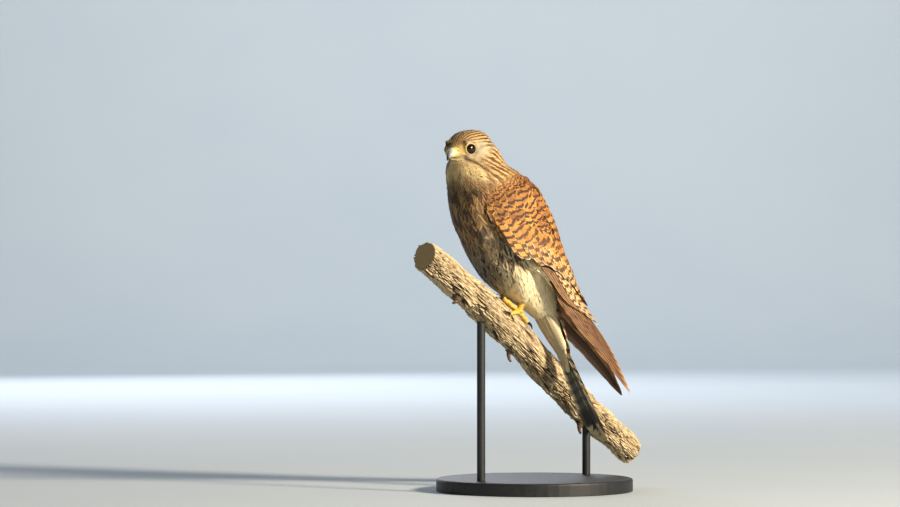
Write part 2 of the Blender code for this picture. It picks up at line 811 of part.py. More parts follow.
def perch_frame(x):
    """The branch's middle, radius, direction down it, top direction and side direction."""
    middle, radius = perch_middle(x)
    along = (perch_middle(x + 2.0)[0] - perch_middle(x - 2.0)[0]).normalized()
    top = Vector((0.0, 0.0, 1.0))
    top = (top - along * top.dot(along)).normalized()
    side = along.cross(top)
    return middle, radius, along, top, side


def perch_point(x, angle, lift):
    """A point over the bark, at an angle round from the top line towards the viewer."""
    middle, radius, _, top, side = perch_frame(x)
    turn = math.radians(angle)
    return middle + (radius + lift) * (top * math.cos(turn) + side * math.sin(turn))


def knot_height(x, angle):
    height = 0.0
    for knot_x, knot_angle, rise, spread in KNOTS:
        around = math.radians((angle - knot_angle + 180.0) % 360.0 - 180.0) * 16.0
        height += rise * math.exp(-((x - knot_x) ** 2 * 2.5 + around**2) / spread**2)
    return height


def make_branch(name, grow=0.0):
    rings = []
    for x in stations(PERCH[0][0], PERCH[-1][0], PERCH_STEP):
        ring = []
        for j in range(PERCH_SIDES):
            angle = 360.0 * j / PERCH_SIDES
            ring.append(perch_point(x, angle, knot_height(x, angle) + grow))
        rings.append(ring)
    return loft(name, rings, "bark")


# The legs


def toe_track(side, toe, share):
    """The place under a toe at a share of its reach, which may pass its end."""
    reach, turn, _ = TOES[toe]
    along = perch_frame(FOOT_X[side])[2]
    x = FOOT_X[side] - reach * share * along.x
    turned = min(share, 1.0) + CLAW_TURN * max(share - 1.0, 0.0)
    return x, FOOT_ANGLES[side] + side * turn * turned


def make_toe(side, toe):
    _, _, radius = TOES[toe]
    count = 6
    points = []
    radii = []
    for i in range(count + 1):
        share = i / count
        x, angle = toe_track(side, toe, share)
        size = radius * (1.0 - 0.18 * share + 0.08 * math.cos(share * math.tau * 3))
        points.append(perch_point(x, angle, size + GAP + 0.25))
        radii.append(size)
    return tube("toe", points, radii, "leg_skin", 8)


def make_claw(side, toe, name, parent):
    reach, _, toe_radius = TOES[toe]
    size = toe_radius * 0.82
    count = 6
    points = []
    radii = []
    for i in range(count + 1):
        share = i / count
        ahead = CLAW_REACH * share
        past = 1.0 + (CLAW_START + ahead) / abs(reach)
        x, angle = toe_track(side, toe, past)
        lift = (1 - share) ** 2 * (size + CLAW_BASE_LIFT) + share**2 * CLAW_TIP_LIFT
        lift += 2 * share * (1 - share) * (size + CLAW_RISE)
        points.append(perch_point(x, angle, lift))
        radii.append(CLAW_RADIUS * (1.0 - share) ** 0.7 + 0.15)
    points = [bird_matrix().inverted() @ p for p in points]
    return finish_object(tube(name, points, radii, "claw_horn", 6), parent)


def make_leg(side, word, bird):
    to_bird = bird_matrix().inverted()
    ball = perch_point(FOOT_X[side], FOOT_ANGLES[side], BALL_LIFT)
    heel = mirrored(HEEL, side)
    ankle = to_bird @ ball
    socket_end = ankle.lerp(heel, 0.42)
    tarsus = tube(
        f"foot_{word}", [ankle, ankle.lerp(heel, 0.14), ankle.lerp(heel, 0.28), socket_end],
        [3.4, 2.9, TARSUS_RADIUS, TARSUS_RADIUS], "leg_skin", 10,
    )
    toes = [make_toe(side, toe) for toe in TOES]
    for toe in toes:
        toe.data.transform(Matrix.Scale(MM, 4) @ to_bird @ Matrix.Scale(1 / MM, 4))
    use_boolean(tarsus, "UNION", toes)
    use_boolean(tarsus, "DIFFERENCE", [make_trunk_fit()])
    finish_object(tarsus, bird)
    for toe in TOES:
        make_claw(side, toe, f"claw_{word}_{toe}", bird)

    thigh = tube(
        f"thigh_{word}", [mirrored(p, side) for p, _ in THIGH], [r for _, r in THIGH], "pale_plumage", 18,
    )
    fit = tube(
        "fit", [ankle, socket_end, socket_end + (heel - ankle) * 0.01],
        [TARSUS_RADIUS + GAP] * 3, "pale_plumage", 10,
    )
    use_boolean(thigh, "DIFFERENCE", [make_trunk_fit(), fit, make_wing_core("clear", side, 2.0 * GAP)])
    finish_object(thigh, bird)


# The stand


def make_stand():
    rings = []
    for radius, z in (
        (BASE_RADIUS, 0.0),
        (BASE_RADIUS, BASE_HEIGHT - BASE_EDGE),
        (BASE_RADIUS - BASE_EDGE * 0.3, BASE_HEIGHT - BASE_EDGE * 0.3),
        (BASE_RADIUS - BASE_EDGE, BASE_HEIGHT),
    ):
        rings.append([
            Vector((radius * math.cos(turn), radius * math.sin(turn), z))
            for turn in [math.tau * j / BASE_SIDES for j in range(BASE_SIDES)]
        ])
    finish_object(loft("stand_base", rings, "stand_metal"), None)
    for number, x in enumerate(ROD_X, 1):
        middle, radius, _, top, _ = perch_frame(x)
        rod = tube(
            f"stand_rod_{number}",
            [Vector((x, middle.y, BASE_HEIGHT + GAP)), Vector((x, middle.y, middle.z))],
            [ROD_RADIUS] * 2, "stand_metal", 20,
        )
        use_boolean(rod, "DIFFERENCE", [make_branch("fit", GAP + 0.1)])
        finish_object(rod, None)


def main():
    clear_scene()
    bird = bpy.data.objects.new("kestrel_frame", None)
    bird.matrix_world = Matrix.Translation(BIRD_AT * MM) @ bird_matrix().to_3x3().to_4x4()
    bpy.context.scene.collection.objects.link(bird)
    head_frame = bpy.data.objects.new("head_frame", None)
    head_frame.location = HEAD_AT * MM
    head_frame.rotation_euler.z = math.radians(HEAD_YAW)
    head_frame.parent = bird
    bpy.context.scene.collection.objects.link(head_frame)
    bpy.context.view_layer.update()
    make_body(bird, head_frame)
    make_head(head_frame)
    make_wing("wing_left", 1, bird)
    make_wing("wing_right", -1, bird)
    make_tail(bird)
    finish_object(make_branch("perch_branch"), None)
    for side, word in ((1, "left"), (-1, "right")):
        make_leg(side, word, bird)
    make_stand()


main()
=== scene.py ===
"""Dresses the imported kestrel: skin, plumage, bill, eyes, feet, bark and stand.

Lengths are in millimetres, in the frame's axes, until a mesh is made. The bird's own
axes repeat the named sizes that place it on its perch.
"""

import math
from functools import partial

import bmesh
import bpy
import numpy as np
from mathutils import Matrix, Vector, noise
from mathutils.bvhtree import BVHTree
from mathutils.kdtree import KDTree


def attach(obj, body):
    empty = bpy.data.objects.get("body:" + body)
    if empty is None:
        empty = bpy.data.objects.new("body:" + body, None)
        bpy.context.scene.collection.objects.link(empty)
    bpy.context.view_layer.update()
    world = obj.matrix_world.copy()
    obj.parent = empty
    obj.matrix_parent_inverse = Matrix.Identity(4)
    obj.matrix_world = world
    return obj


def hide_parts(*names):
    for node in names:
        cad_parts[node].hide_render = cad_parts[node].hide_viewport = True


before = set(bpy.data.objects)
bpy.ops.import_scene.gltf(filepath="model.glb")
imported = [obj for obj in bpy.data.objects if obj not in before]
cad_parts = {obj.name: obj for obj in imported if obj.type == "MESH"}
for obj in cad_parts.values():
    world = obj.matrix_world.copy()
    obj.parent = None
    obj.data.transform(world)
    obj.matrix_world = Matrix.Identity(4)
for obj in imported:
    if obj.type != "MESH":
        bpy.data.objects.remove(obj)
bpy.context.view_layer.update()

MM = 0.001
SEED = 7

# Where the bird sits, as in the frame
BIRD_AT = Vector((-22.1, -20.0, 179.5))
BIRD_YAW = 22.0
BODY_LEAN = 65.0
HEAD_AT = Vector((57.5, 7.2, 148.8))
HEAD_YAW = 37.0
TAIL_AT = (-24.0, 29.0)
TAIL_PITCH = 4.0
TAIL_YAW = 13.5
TAIL_ROLL = 8.0

# The skin
VOXEL = 1.35
SKIN_DEPTH = 1.5  # under the frame's surface, by the depth of the coat
HEAD_SKIN_DEPTH = 0.9
FLESH = ("torso", "neck", "head", "thigh_left", "thigh_right")
SOFTENINGS = 9
MANTLE_ANGLE = 42.0
MANTLE_THICK = 8.0

# The closed wing's form: s, t of the middle, depth to the back, half-width
WING_FORM = (
    (-135.0, 67.0, 11.0, 16.0),
    (-101.0, 54.5, 23.0, 19.5),
    (-80.0, 48.5, 25.5, 22.5),
    (-50.0, 39.5, 26.5, 26.0),
    (-16.0, 31.0, 28.8, 30.5),
    (10.0, 26.0, 34.6, 35.0),
    (30.0, 22.0, 42.6, 37.0),
    (50.0, 20.0, 49.5, 38.0),
    (70.0, 20.0, 51.0, 38.5),
    (90.0, 20.0, 50.5, 38.5),
    (105.0, 21.0, 46.0, 37.5),
    (118.0, 24.0, 38.5, 34.0),
)
WING_END_SLOPE = 0.2
# The arm inside the wing: s, angle of its lower edge, angle of its upper edge, lift, thickness
WING_CORE = (
    (-16.0, 68.0, 8.0, -4.0, 2.5),
    (-4.0, 74.0, 6.0, -2.5, 4.0),
    (10.0, 81.0, 3.0, -1.0, 6.0),
    (30.0, 89.0, 3.0, 0.0, 9.0),
    (50.0, 99.0, 9.0, 0.0, 13.0),
    (78.0, 110.0, 21.0, 0.0, 14.0),
    (100.0, 113.0, 32.0, 0.0, 13.0),
    (107.0, 112.0, 38.0, -3.0, 12.0),
    (114.0, 108.0, 46.0, -11.0, 6.0),
)
CORE_ARC = 24
# The tail's root: along, depth, half-width
TAIL_STUB = (
    (-3.0, 12.8, 12.8),
    (10.0, 9.5, 12.3),
    (22.0, 6.0, 11.0),
    (36.0, 3.6, 8.5),
    (46.0, 2.6, 7.0),
)

# The head's own axes: X to the bill, Y to the left, Z up, from between the eyes
EYE_AT = Vector((-0.5, 10.2, 0.0))
EYE_RADIUS = 6.4
EYE_AIM = 60.0
EYE_SINK = 0.25
# The bill's halves: x, z of the middle, depth, half-width
BILL_UPPER = (
    (6.0, -3.6, 4.9, 5.9),
    (9.5, -3.4, 5.1, 5.7),
    (13.0, -3.6, 4.7, 4.9),
    (16.5, -4.7, 3.9, 3.7),
    (19.3, -6.5, 2.9, 2.5),
    (21.2, -8.8, 1.7, 1.4),
    (22.3, -11.4, 0.35, 0.35),
)
BILL_LOWER = (
    (6.0, -10.6, 1.9, 5.2),
    (10.0, -10.6, 1.8, 4.6),
    (14.0, -10.5, 1.5, 3.4),
    (17.0, -10.2, 1.0, 1.9),
    (18.2, -10.0, 0.5, 0.8),
)
MOUTH_Z = -8.6
NOSTRIL_AT = Vector((11.2, 4.9, -2.2))

THIGH_TOP = Vector((3.0, 16.5, 44.0))
THIGH_END = Vector((-6.0, 12.0, 4.0))
HEEL = Vector((-13.0, 13.0, 22.0))

# The perch: x, z of its middle line, radius
PERCH = (
    (-105.5, 226.5, 14.6),
    (-72.0, 198.7, 15.6),
    (-33.6, 163.2, 16.1),
    (-14.4, 144.0, 15.8),
    (4.8, 122.0, 15.1),
    (43.0, 83.5, 15.9),
    (70.0, 58.5, 14.8),
    (97.0, 34.0, 14.3),
)
PERCH_TURN = 46.0
PERCH_RADIUS = 16.0  # about its mean, for steps round it
# Knots on the perch: x, angle, rise, spread
KNOTS = (
    (-66.0, 150.0, 6.0, 7.0),
    (-31.0, 165.0, 5.0, 6.0),
    (40.0, 150.0, 6.5, 8.0),
    (63.0, -120.0, 3.0, 9.0),
)

# The photograph's view
PHOTO_SCALE = 0.96  # millimetres of the bird's plane in one of its 900 columns
PHOTO_WIDTH = 900
PHOTO_MIDDLE = Vector((-81.6, 228.7))  # x and z at the middle of the frame
LENS = 150.0
SENSOR = 36.0


def linear(code):
    """An sRGB hex colour as linear red, green, blue and alpha."""
    channels = [int(code[i:i + 2], 16) / 255.0 for i in (1, 3, 5)]
    return (*[c / 12.92 if c <= 0.04045 else ((c + 0.055) / 1.055) ** 2.4 for c in channels], 1.0)


def colour(code):
    return np.array(linear(code)[:3])


# Curves and frames


def curve(rows, keys):
    """Read a smooth curve through rows of (key, value, ...) at an array of keys."""
    table = np.array(rows, float)
    known = table[:, 0]
    keys = np.clip(np.asarray(keys, float), known[0], known[-1])
    index = np.clip(np.searchsorted(known, keys, side="right") - 1, 0, len(known) - 2)
    before = np.maximum(np.arange(len(known)) - 1, 0)
    after = np.minimum(np.arange(len(known)) + 1, len(known) - 1)
    slopes = (table[after, 1:] - table[before, 1:]) / (known[after] - known[before])[:, None]
    span = (known[index + 1] - known[index])[..., None]
    x = (keys - known[index])[..., None] / span
    values = (
        (2 * x**3 - 3 * x**2 + 1) * table[index, 1:]
        + (x**3 - 2 * x**2 + x) * span * slopes[index]
        + (3 * x**2 - 2 * x**3) * table[index + 1, 1:]
        + (x**3 - x**2) * span * slopes[index + 1]
    )
    return [values[..., i] for i in range(values.shape[-1])]


def mix(start, end, share):
    return start + (end - start) * share


def ease(low, high, x):
    x = np.clip((np.asarray(x, float) - low) / (high - low), 0.0, 1.0)
    return x * x * (3.0 - 2.0 * x)


def between(low, high, x):
    """1 inside a band with soft edges: a pair of places at its start and one at its end."""
    return ease(*low, x) * (1.0 - ease(*high, x))


def turned(angle, axis):
    return Matrix.Rotation(math.radians(angle), 4, axis)


def trunk_axes():
    """From s, t and l to the bird's forward, left and up."""
    lean = math.radians(BODY_LEAN)
    return Matrix((
        (math.cos(lean), -math.sin(lean), 0.0, 0.0),
        (0.0, 0.0, 1.0, 0.0),
        (math.sin(lean), math.cos(lean), 0.0, 0.0),
        (0.0, 0.0, 0.0, 1.0),
    ))


def tail_axes():
    """From along the tail, to its left and to its back, to the bird's axes."""
    axes = trunk_axes()
    flip = Matrix((
        (-1.0, 0.0, 0.0, 0.0),
        (0.0, 0.0, 1.0, 0.0),
        (0.0, 1.0, 0.0, 0.0),
        (0.0, 0.0, 0.0, 1.0),
    ))
    root = axes @ Vector((*TAIL_AT, 0.0))
    turns = turned(TAIL_YAW, "Z") @ turned(TAIL_PITCH, "Y") @ turned(TAIL_ROLL, "X")
    return Matrix.Translation(root) @ axes @ flip @ turns


BIRD = Matrix.Translation(BIRD_AT) @ turned(180.0 + BIRD_YAW, "Z")
BODY = BIRD @ trunk_axes()
HEAD = BIRD @ Matrix.Translation(HEAD_AT) @ turned(HEAD_YAW, "Z")
TAIL = BIRD @ tail_axes()


def moved(matrix, points):
    """Points, as rows, carried by a matrix."""
    table = np.array(matrix)
    return np.asarray(points) @ table[:3, :3].T + table[:3, 3]


def swung(matrix, directions):
    return np.asarray(directions) @ np.array(matrix)[:3, :3].T


def unit(vectors):
    return vectors / np.maximum(np.linalg.norm(vectors, axis=-1, keepdims=True), 1e-9)


def across_to(vectors, normals):
    """Unit vectors, without what they have along unit normals."""
    return unit(vectors - normals * (vectors * normals).sum(-1, keepdims=True))


def off_axis(points, middle, axis):
    """How far points lie along an axis, and their offsets from it."""
    off = points - middle
    rise = off @ axis
    return rise, off - rise[:, None] * axis


def mirrored(point, side):
    """A point on the left, or its twin on the right where side is -1."""
    return np.array([point.x, point.y * side, point.z])


def circle(count):
    """Even angles round a circle."""
    return np.linspace(0.0, math.tau, count, endpoint=False)


def wing_point(s, angle, lift, side):
    """World points over the closed wing's form, and the outward directions there."""
    s, angle, lift = np.broadcast_arrays(np.asarray(s, float), angle, lift)
    middle, depth, width = curve(WING_FORM, s)
    middle = middle + np.maximum(WING_FORM[0][0] - s, 0.0) * WING_END_SLOPE
    t = middle + (depth + lift) * np.cos(angle)
    l = side * (width + lift) * np.sin(angle)
    out = np.stack([np.zeros_like(s), np.cos(angle) / depth, side * np.sin(angle) / width], -1)
    return moved(BODY, np.stack([s, t, l], -1)), unit(swung(BODY, out))


# Meshes


def link(name, mesh, finish, slot):
    made = bpy.data.objects.new(name, mesh)
    if finish:
        mesh.materials.append(finish)
    bpy.context.scene.collection.objects.link(made)
    if slot:
        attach(made, "root")
    return made


def place_points(mesh, points):
    places = (np.asarray(points) * MM).astype(np.float32)
    mesh.vertices.foreach_set("co", places.ravel())


def mesh_from(name, points, faces):
    """A mesh from an array of points in millimetres and an array of equal faces."""
    faces = np.asarray(faces, np.int32)
    mesh = bpy.data.meshes.new(name)
    mesh.vertices.add(len(points))
    place_points(mesh, points)
    mesh.loops.add(faces.size)
    mesh.loops.foreach_set("vertex_index", faces.ravel())
    mesh.polygons.add(len(faces))
    starts = np.arange(0, faces.size, faces.shape[1], dtype=np.int32)
    mesh.polygons.foreach_set("loop_start", starts)
    mesh.polygons.foreach_set("use_smooth", np.full(len(faces), True))
    mesh.update()
    mesh.validate()
    return mesh


def rows_of(items, key, width, kind=np.float32):
    """A property of all a mesh's points, corners or faces, a row for each."""
    found = np.empty(len(items) * width, kind)
    items.foreach_get(key, found)
    return found.reshape(-1, width)


def rework(mesh, change):
    """Change a mesh with a function of its bmesh."""
    work = bmesh.new()
    work.from_mesh(mesh)
    change(work)
    work.to_mesh(mesh)
    work.free()


def face_out(work):
    """Turn the faces of closed forms outward."""
    bmesh.ops.recalc_face_normals(work, faces=work.faces)


def give_colour(mesh, name, values):
    """A colour for each point, or one for all of them, of three or four channels."""
    values = np.asarray(values, np.float32) * np.ones((len(mesh.vertices), 1), np.float32)
    if values.shape[1] == 3:
        values = np.hstack([values, np.ones((len(values), 1), np.float32)])
    mesh.attributes.new(name, "FLOAT_COLOR", "POINT").data.foreach_set("color", values.ravel())


def give_number(mesh, name, values):
    values = np.asarray(values, np.float32)
    mesh.attributes.new(name, "FLOAT", "POINT").data.foreach_set("value", values)


def give_map(mesh, name, places):
    """A UV map from a place for each point."""
    corners = rows_of(mesh.loops, "vertex_index", 1, np.int32)[:, 0]
    spread = np.asarray(places, np.float32)[corners].ravel()
    mesh.uv_layers.new(name=name).data.foreach_set("uv", spread)


def solid_piece(name, points, faces, tone, finish, slot):
    """A closed piece of the model with its own tones."""
    mesh = mesh_from(name, points, faces)
    rework(mesh, face_out)
    give_colour(mesh, "tone", tone)
    return link(name, mesh, finish, slot)


def tube(track, radii, first, second, around):
    """Rings round a track, from radii in rows and two directions across it."""
    out = first[:, None] * np.cos(around)[:, None] + second[:, None] * np.sin(around)[:, None]
    return track[:, None] + radii[..., None] * out


def ways_across(track, out):
    """Two directions across each place of a track: outward, and to its side."""
    heads = unit(np.gradient(track, axis=0))
    ups = across_to(out, heads)
    return ups, np.cross(heads, ups)


def rings_mesh(rings, closed=True):
    """Triangles between rings of equal size, with fans over the ends."""
    rings = np.asarray(rings, float)
    count, size = rings.shape[:2]
    points = rings.reshape(-1, 3)
    i, j = np.meshgrid(np.arange(count - 1), np.arange(size), indexing="ij")
    k = (j + 1) % size
    corners = [i * size + j, i * size + k, (i + 1) * size + k, (i + 1) * size + j]
    quads = np.stack(corners, -1).reshape(-1, 4)
    triangles = np.concatenate([quads[:, [0, 1, 2]], quads[:, [0, 2, 3]]])
    if closed:
        ends = []
        for first in (0, (count - 1) * size):
            middle = len(points)
            points = np.vstack([points, points[first:first + size].mean(0)])
            j = np.arange(size)
            ends.append(np.stack([first + j, first + (j + 1) % size, np.full(size, middle)], -1))
        ends[0] = ends[0][:, ::-1]
        triangles = np.concatenate([triangles, *ends])
    return points, triangles


def joined(parts):
    """One set of points and faces from those of several forms."""
    starts = np.cumsum([0] + [len(points) for points, _ in parts[:-1]])
    points = np.vstack([points for points, _ in parts])
    return points, np.vstack([faces + start for (_, faces), start in zip(parts, starts)])


# Materials


def add(tree, kind, inputs=(), output=0, **settings):
    """Add a node with its settings, fill or link its inputs, and give one of its outputs."""
    node = tree.nodes.new("ShaderNode" + kind)
    for name, value in settings.items():
        setattr(node, name, value)
    for key, value in inputs.items() if isinstance(inputs, dict) else enumerate(inputs):
        if isinstance(value, bpy.types.NodeSocket):
            tree.links.new(value, node.inputs[key])
        else:
            node.inputs[key].default_value = value
    return node.outputs[output]


def new_material(name, **values):
    """A material with a maker of its nodes and its surface shader, whose own values are set."""
    made = bpy.data.materials.new(name)
    made.use_nodes = True
    shader = made.node_tree.nodes["Principled BSDF"]
    for key, value in values.items():
        socket = "IOR" if key == "ior" else key.replace("_", " ").title()
        shader.inputs[socket].default_value = value
    return made, partial(add, made.node_tree), shader


def wire(shader, name, socket):
    shader.id_data.links.new(socket, shader.inputs[name])


def tint_and_bump(node, shader, tone, shade, height, strength, depth):
    """End a material: its tone times a shade, and a relief of a depth in millimetres."""
    grey = node("CombineColor", [shade, shade, shade])
    tinted = node("Mix", {0: 1.0, 6: tone, 7: grey}, 2, data_type="RGBA", blend_type="MULTIPLY")
    relief = node("Bump", {"Height": height, "Strength": strength, "Distance": depth * MM})
    wire(shader, "Base Color", tinted)
    wire(shader, "Normal", relief)


MOTTLE = 0.9  # patches to a millimetre, of loose barbs that catch the light apart
BARB_SLANT = 2.2  # how far a barb runs to the tip on its way out, in millimetres
BARB_DEPTH = 0.15


def feather_material(name, barb_spacing, roughness):
    """Keratin vane, grown: matt and soft, with barbs that run out from a darker shaft.

    Bars, a shaft streak, a drop near the tip and a pale edge each have a strength
    that comes with the feather, and lie in the feather's own width and length. Real
    barbs lie about 0.3 mm apart; barb_spacing is as coarse as they need to show.
    """
    made, node, shader = new_material(name, roughness=roughness, ior=1.54, sheen_weight=0.05)
    place = node("UVMap", uv_map="vane")
    side = node("Math", [node("SeparateXYZ", [place]), 2.0, -1.0], operation="MULTIPLY_ADD")
    across = node("Math", [side], operation="ABSOLUTE")
    along = node("SeparateXYZ", [place], 1)
    tone, mark, edge = [node("Attribute", attribute_name=n) for n in ("tone", "mark", "edge")]
    pattern = node("Attribute", attribute_name="pattern")
    bars, streak, drop = [node("SeparateColor", [pattern], i) for i in range(3)]
    fringe = node("Attribute", output=3, attribute_name="pattern")
    counts, shift, size = [
        node("Attribute", output=2, attribute_name=n) for n in ("bar_count", "shift", "long")
    ]
    rough = node("TexNoise", {"Vector": node("NewGeometry"), "Scale": MOTTLE / MM, "Detail": 2.0})
    wobble = node("Math", [rough, 0.5, -0.25], operation="MULTIPLY_ADD")

    # bars bend towards the tip beside the shaft
    phase = node("Math", [along, counts, shift], operation="MULTIPLY_ADD")
    phase = node("Math", [across, 0.24, phase], operation="MULTIPLY_ADD")
    phase = node("Math", [wobble, 0.5, phase], operation="MULTIPLY_ADD")
    wave = node("Math", [node("Math", [phase, math.tau], operation="MULTIPLY")], operation="COSINE")
    band = node("MapRange", [wave, 0.0, 0.6, 0.0, 1.0], interpolation_type="SMOOTHSTEP")
    band = node("Math", [band, bars], operation="MULTIPLY")
    # a streak along the shaft that stops short of the tip
    from_shaft = node("Math", [wobble, 0.5, across], operation="MULTIPLY_ADD")
    narrow = node("MapRange", [along, 0.84, 0.98, 0.5, 0.05])
    share = node("Math", [from_shaft, narrow], operation="DIVIDE")
    line = node("MapRange", [share, 0.7, 1.25, 1.0, 0.0], interpolation_type="SMOOTHSTEP")
    line = node("Math", [line, streak], operation="MULTIPLY")
    # a drop near the tip
    wide = node("Math", [from_shaft, 1.15], operation="MULTIPLY")
    wide = node("Math", [wide, 2.0], operation="POWER")
    far = node("Math", [along, 4.0, -3.0], operation="MULTIPLY_ADD")
    far = node("Math", [far, far, wide], operation="MULTIPLY_ADD")
    spot = node("MapRange", [far, 0.6, 1.2, 1.0, 0.0], interpolation_type="SMOOTHSTEP")
    spot = node("Math", [spot, drop], operation="MULTIPLY")
    dark = node("Math", [band, line], operation="MAXIMUM")
    dark = node("Math", [dark, spot], operation="MAXIMUM")
    # the pale edge
    rim = node("MapRange", [across, 0.76, 0.97, 0.0, 1.0], interpolation_type="SMOOTHSTEP")
    end = node("MapRange", [along, 0.91, 0.98, 0.0, 1.0], interpolation_type="SMOOTHSTEP")
    rim = node("Math", [rim, end], operation="MAXIMUM")
    rim = node("Math", [rim, fringe], operation="MULTIPLY")
    painted = node("Mix", {0: rim, 6: tone, 7: edge}, 2, data_type="RGBA")
    painted = node("Mix", {0: dark, 6: painted, 7: mark}, 2, data_type="RGBA")
    # barbs and the shaft
    barb = node("Math", [across, BARB_SLANT], operation="MULTIPLY")
    barb = node("Math", [along, size, barb], operation="MULTIPLY_ADD")
    barb = node("Math", [barb, math.tau / barb_spacing], operation="MULTIPLY")
    barb = node("Math", [barb], operation="SINE")
    fleck = node("MapRange", [rough, 0.3, 0.7, 0.86, 1.1])
    lined = node("Math", [barb, 0.05, 1.0], operation="MULTIPLY_ADD")
    lined = node("Math", [lined, fleck], operation="MULTIPLY")
    shaft = node("MapRange", [across, 0.02, 0.08, 0.72, 1.0])
    lined = node("Math", [lined, shaft], operation="MULTIPLY")
    tint_and_bump(node, shader, painted, lined, barb, 0.25, BARB_DEPTH)
    return made


def grained_material(name, grain, depth, fleck, **values):
    """A surface with its own tones, flecked and raised by a grain of a real size in millimetres."""
    made, node, shader = new_material(name, **values)
    tone = node("Attribute", attribute_name="tone")
    grains = {"Vector": node("NewGeometry"), "Scale": 1.0 / (grain * MM), "Detail": 3.0}
    speck = node("TexNoise", grains)
    shade = node("MapRange", [speck, 0.25, 0.75, 1.0 - fleck, 1.0 + fleck])
    tint_and_bump(node, shader, tone, shade, speck, 0.6, depth)
    return made


def drifting_tone(node, clouds, detail, spread, tints):
    """A tone that drifts between two tints, in so many clouds to a millimetre."""
    geometry = node("NewGeometry")
    cloud = node("TexNoise", {"Vector": geometry, "Scale": clouds / MM, "Detail": detail})
    shade = node("MapRange", [cloud, *spread, 0.0, 1.0])
    low, high = [linear(tint) for tint in tints]
    return cloud, node("Mix", {0: shade, 6: low, 7: high}, 2, data_type="RGBA")


# Skin


def arm_rings(side):
    """The wing's arm under its feathers."""
    rings = []
    for s in np.linspace(WING_CORE[0][0], WING_CORE[-1][0], 60):
        low, high, lift, thickness = [float(v) for v in curve(WING_CORE, s)]
        angles = np.radians(np.linspace(low, high, CORE_ARC))
        outer = wing_point(s, angles, lift, side)[0]
        inner = wing_point(s, angles[::-1], lift - thickness, side)[0]
        rings.append(np.vstack([outer, inner]))
    return rings


def mantle_rings():
    """The back between the wings, raised to meet their feathers."""
    angles = np.radians(np.linspace(-MANTLE_ANGLE, MANTLE_ANGLE, 40))
    rings = []
    for s in np.linspace(-4.0, 108.0, 50):
        lift = -1.6 - 4.0 * ease(18.0, -4.0, s)
        outer = wing_point(s, angles, lift, 1)[0]
        rings.append(np.vstack([outer, wing_point(s, angles[::-1], lift - MANTLE_THICK, 1)[0]]))
    return rings


def tail_root_rings():
    around = circle(32)
    rings = []
    for x in np.linspace(TAIL_STUB[0][0], TAIL_STUB[-1][0], 24):
        depth, width = curve(TAIL_STUB, x)
        out = [np.full(len(around), x), width * np.sin(around), depth * np.cos(around)]
        rings.append(moved(TAIL, np.stack(out, -1)))
    return rings


def make_skin():
    """One skin over the trunk, neck, head, thighs, arms and tail root."""
    work = bmesh.new()
    for name in FLESH:
        work.from_mesh(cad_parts[name].data)
    for rings in (arm_rings(1), arm_rings(-1), mantle_rings(), tail_root_rings()):
        extra = mesh_from("form", *rings_mesh(rings))
        rework(extra, face_out)
        work.from_mesh(extra)
    mesh = bpy.data.meshes.new("skin_form")
    work.to_mesh(mesh)
    work.free()
    form = bpy.data.objects.new("skin_form", mesh)
    bpy.context.scene.collection.objects.link(form)
    remesh = form.modifiers.new("closed", "REMESH")
    remesh.mode = "VOXEL"
    remesh.voxel_size = VOXEL * MM
    smooth = form.modifiers.new("softened", "SMOOTH")
    smooth.factor = 0.5
    smooth.iterations = SOFTENINGS
    bpy.context.view_layer.update()
    found = form.evaluated_get(bpy.context.evaluated_depsgraph_get())
    mesh = bpy.data.meshes.new_from_object(found)
    bpy.data.objects.remove(form, do_unlink=True)
    rework(mesh, keep_largest)
    points = rows_of(mesh.vertices, "co", 3) / MM
    near_face = head_share(moved(HEAD.inverted(), points))
    depth = mix(SKIN_DEPTH, HEAD_SKIN_DEPTH, near_face)
    place_points(mesh, points - rows_of(mesh.vertices, "normal", 3) * depth[:, None])
    mesh.update()
    mesh.name = "skin"
    return mesh


def keep_largest(work):
    """Keep only the largest closed surface of a bmesh, in triangles."""
    unseen = set(work.faces)
    shells = []
    while unseen:
        edge = [unseen.pop()]
        shell = set(edge)
        while edge:
            face = edge.pop()
            for near in {n for side in face.edges for n in side.link_faces if n in unseen}:
                unseen.remove(near)
                shell.add(near)
                edge.append(near)
        shells.append(shell)
    shells.sort(key=len)
    bmesh.ops.delete(work, geom=[f for shell in shells[:-1] for f in shell], context="FACES")
    bmesh.ops.triangulate(work, faces=work.faces)


def unwrap(skin):
    """Spread the skin's own shape on its map."""
    bpy.context.view_layer.objects.active = skin
    skin.select_set(True)
    bpy.ops.object.mode_set(mode="EDIT")
    bpy.ops.mesh.select_all(action="SELECT")
    bpy.ops.uv.smart_project(angle_limit=math.radians(66.0), island_margin=0.004)
    bpy.ops.object.mode_set(mode="OBJECT")
    skin.select_set(False)
    skin.data.uv_layers[0].name = "OFBake"


class Surface:
    """The skin as triangles to scatter on and to follow."""

    def __init__(self, mesh):
        self.points = (rows_of(mesh.vertices, "co", 3) / MM).astype(float)
        self.normals = rows_of(mesh.vertices, "normal", 3).astype(float)
        self.faces = rows_of(mesh.polygons, "vertices", 3, np.int32)
        self.uv = rows_of(mesh.uv_layers["OFBake"].data, "uv", 2).reshape(-1, 3, 2)
        self.tree = BVHTree.FromPolygons([Vector(p) for p in self.points], self.faces.tolist())
        a, b, c = (self.points[self.faces[:, i]] for i in range(3))
        self.areas = np.linalg.norm(np.cross(b - a, c - a), axis=1) / 2

    def nearest(self, places):
        """The nearest point of the skin to each place, the outward direction and the face."""
        found = [self.tree.find_nearest(Vector(p)) for p in places]
        points = np.array([f[0] for f in found])
        index = np.array([f[2] for f in found])
        return points, unit(self.normals[self.faces[index]].mean(1)), index


# Markings, from a place on the bird. Each gives a tone, a mark's colour and an edge's,
# and the strengths of bars, streak, drop and edge.

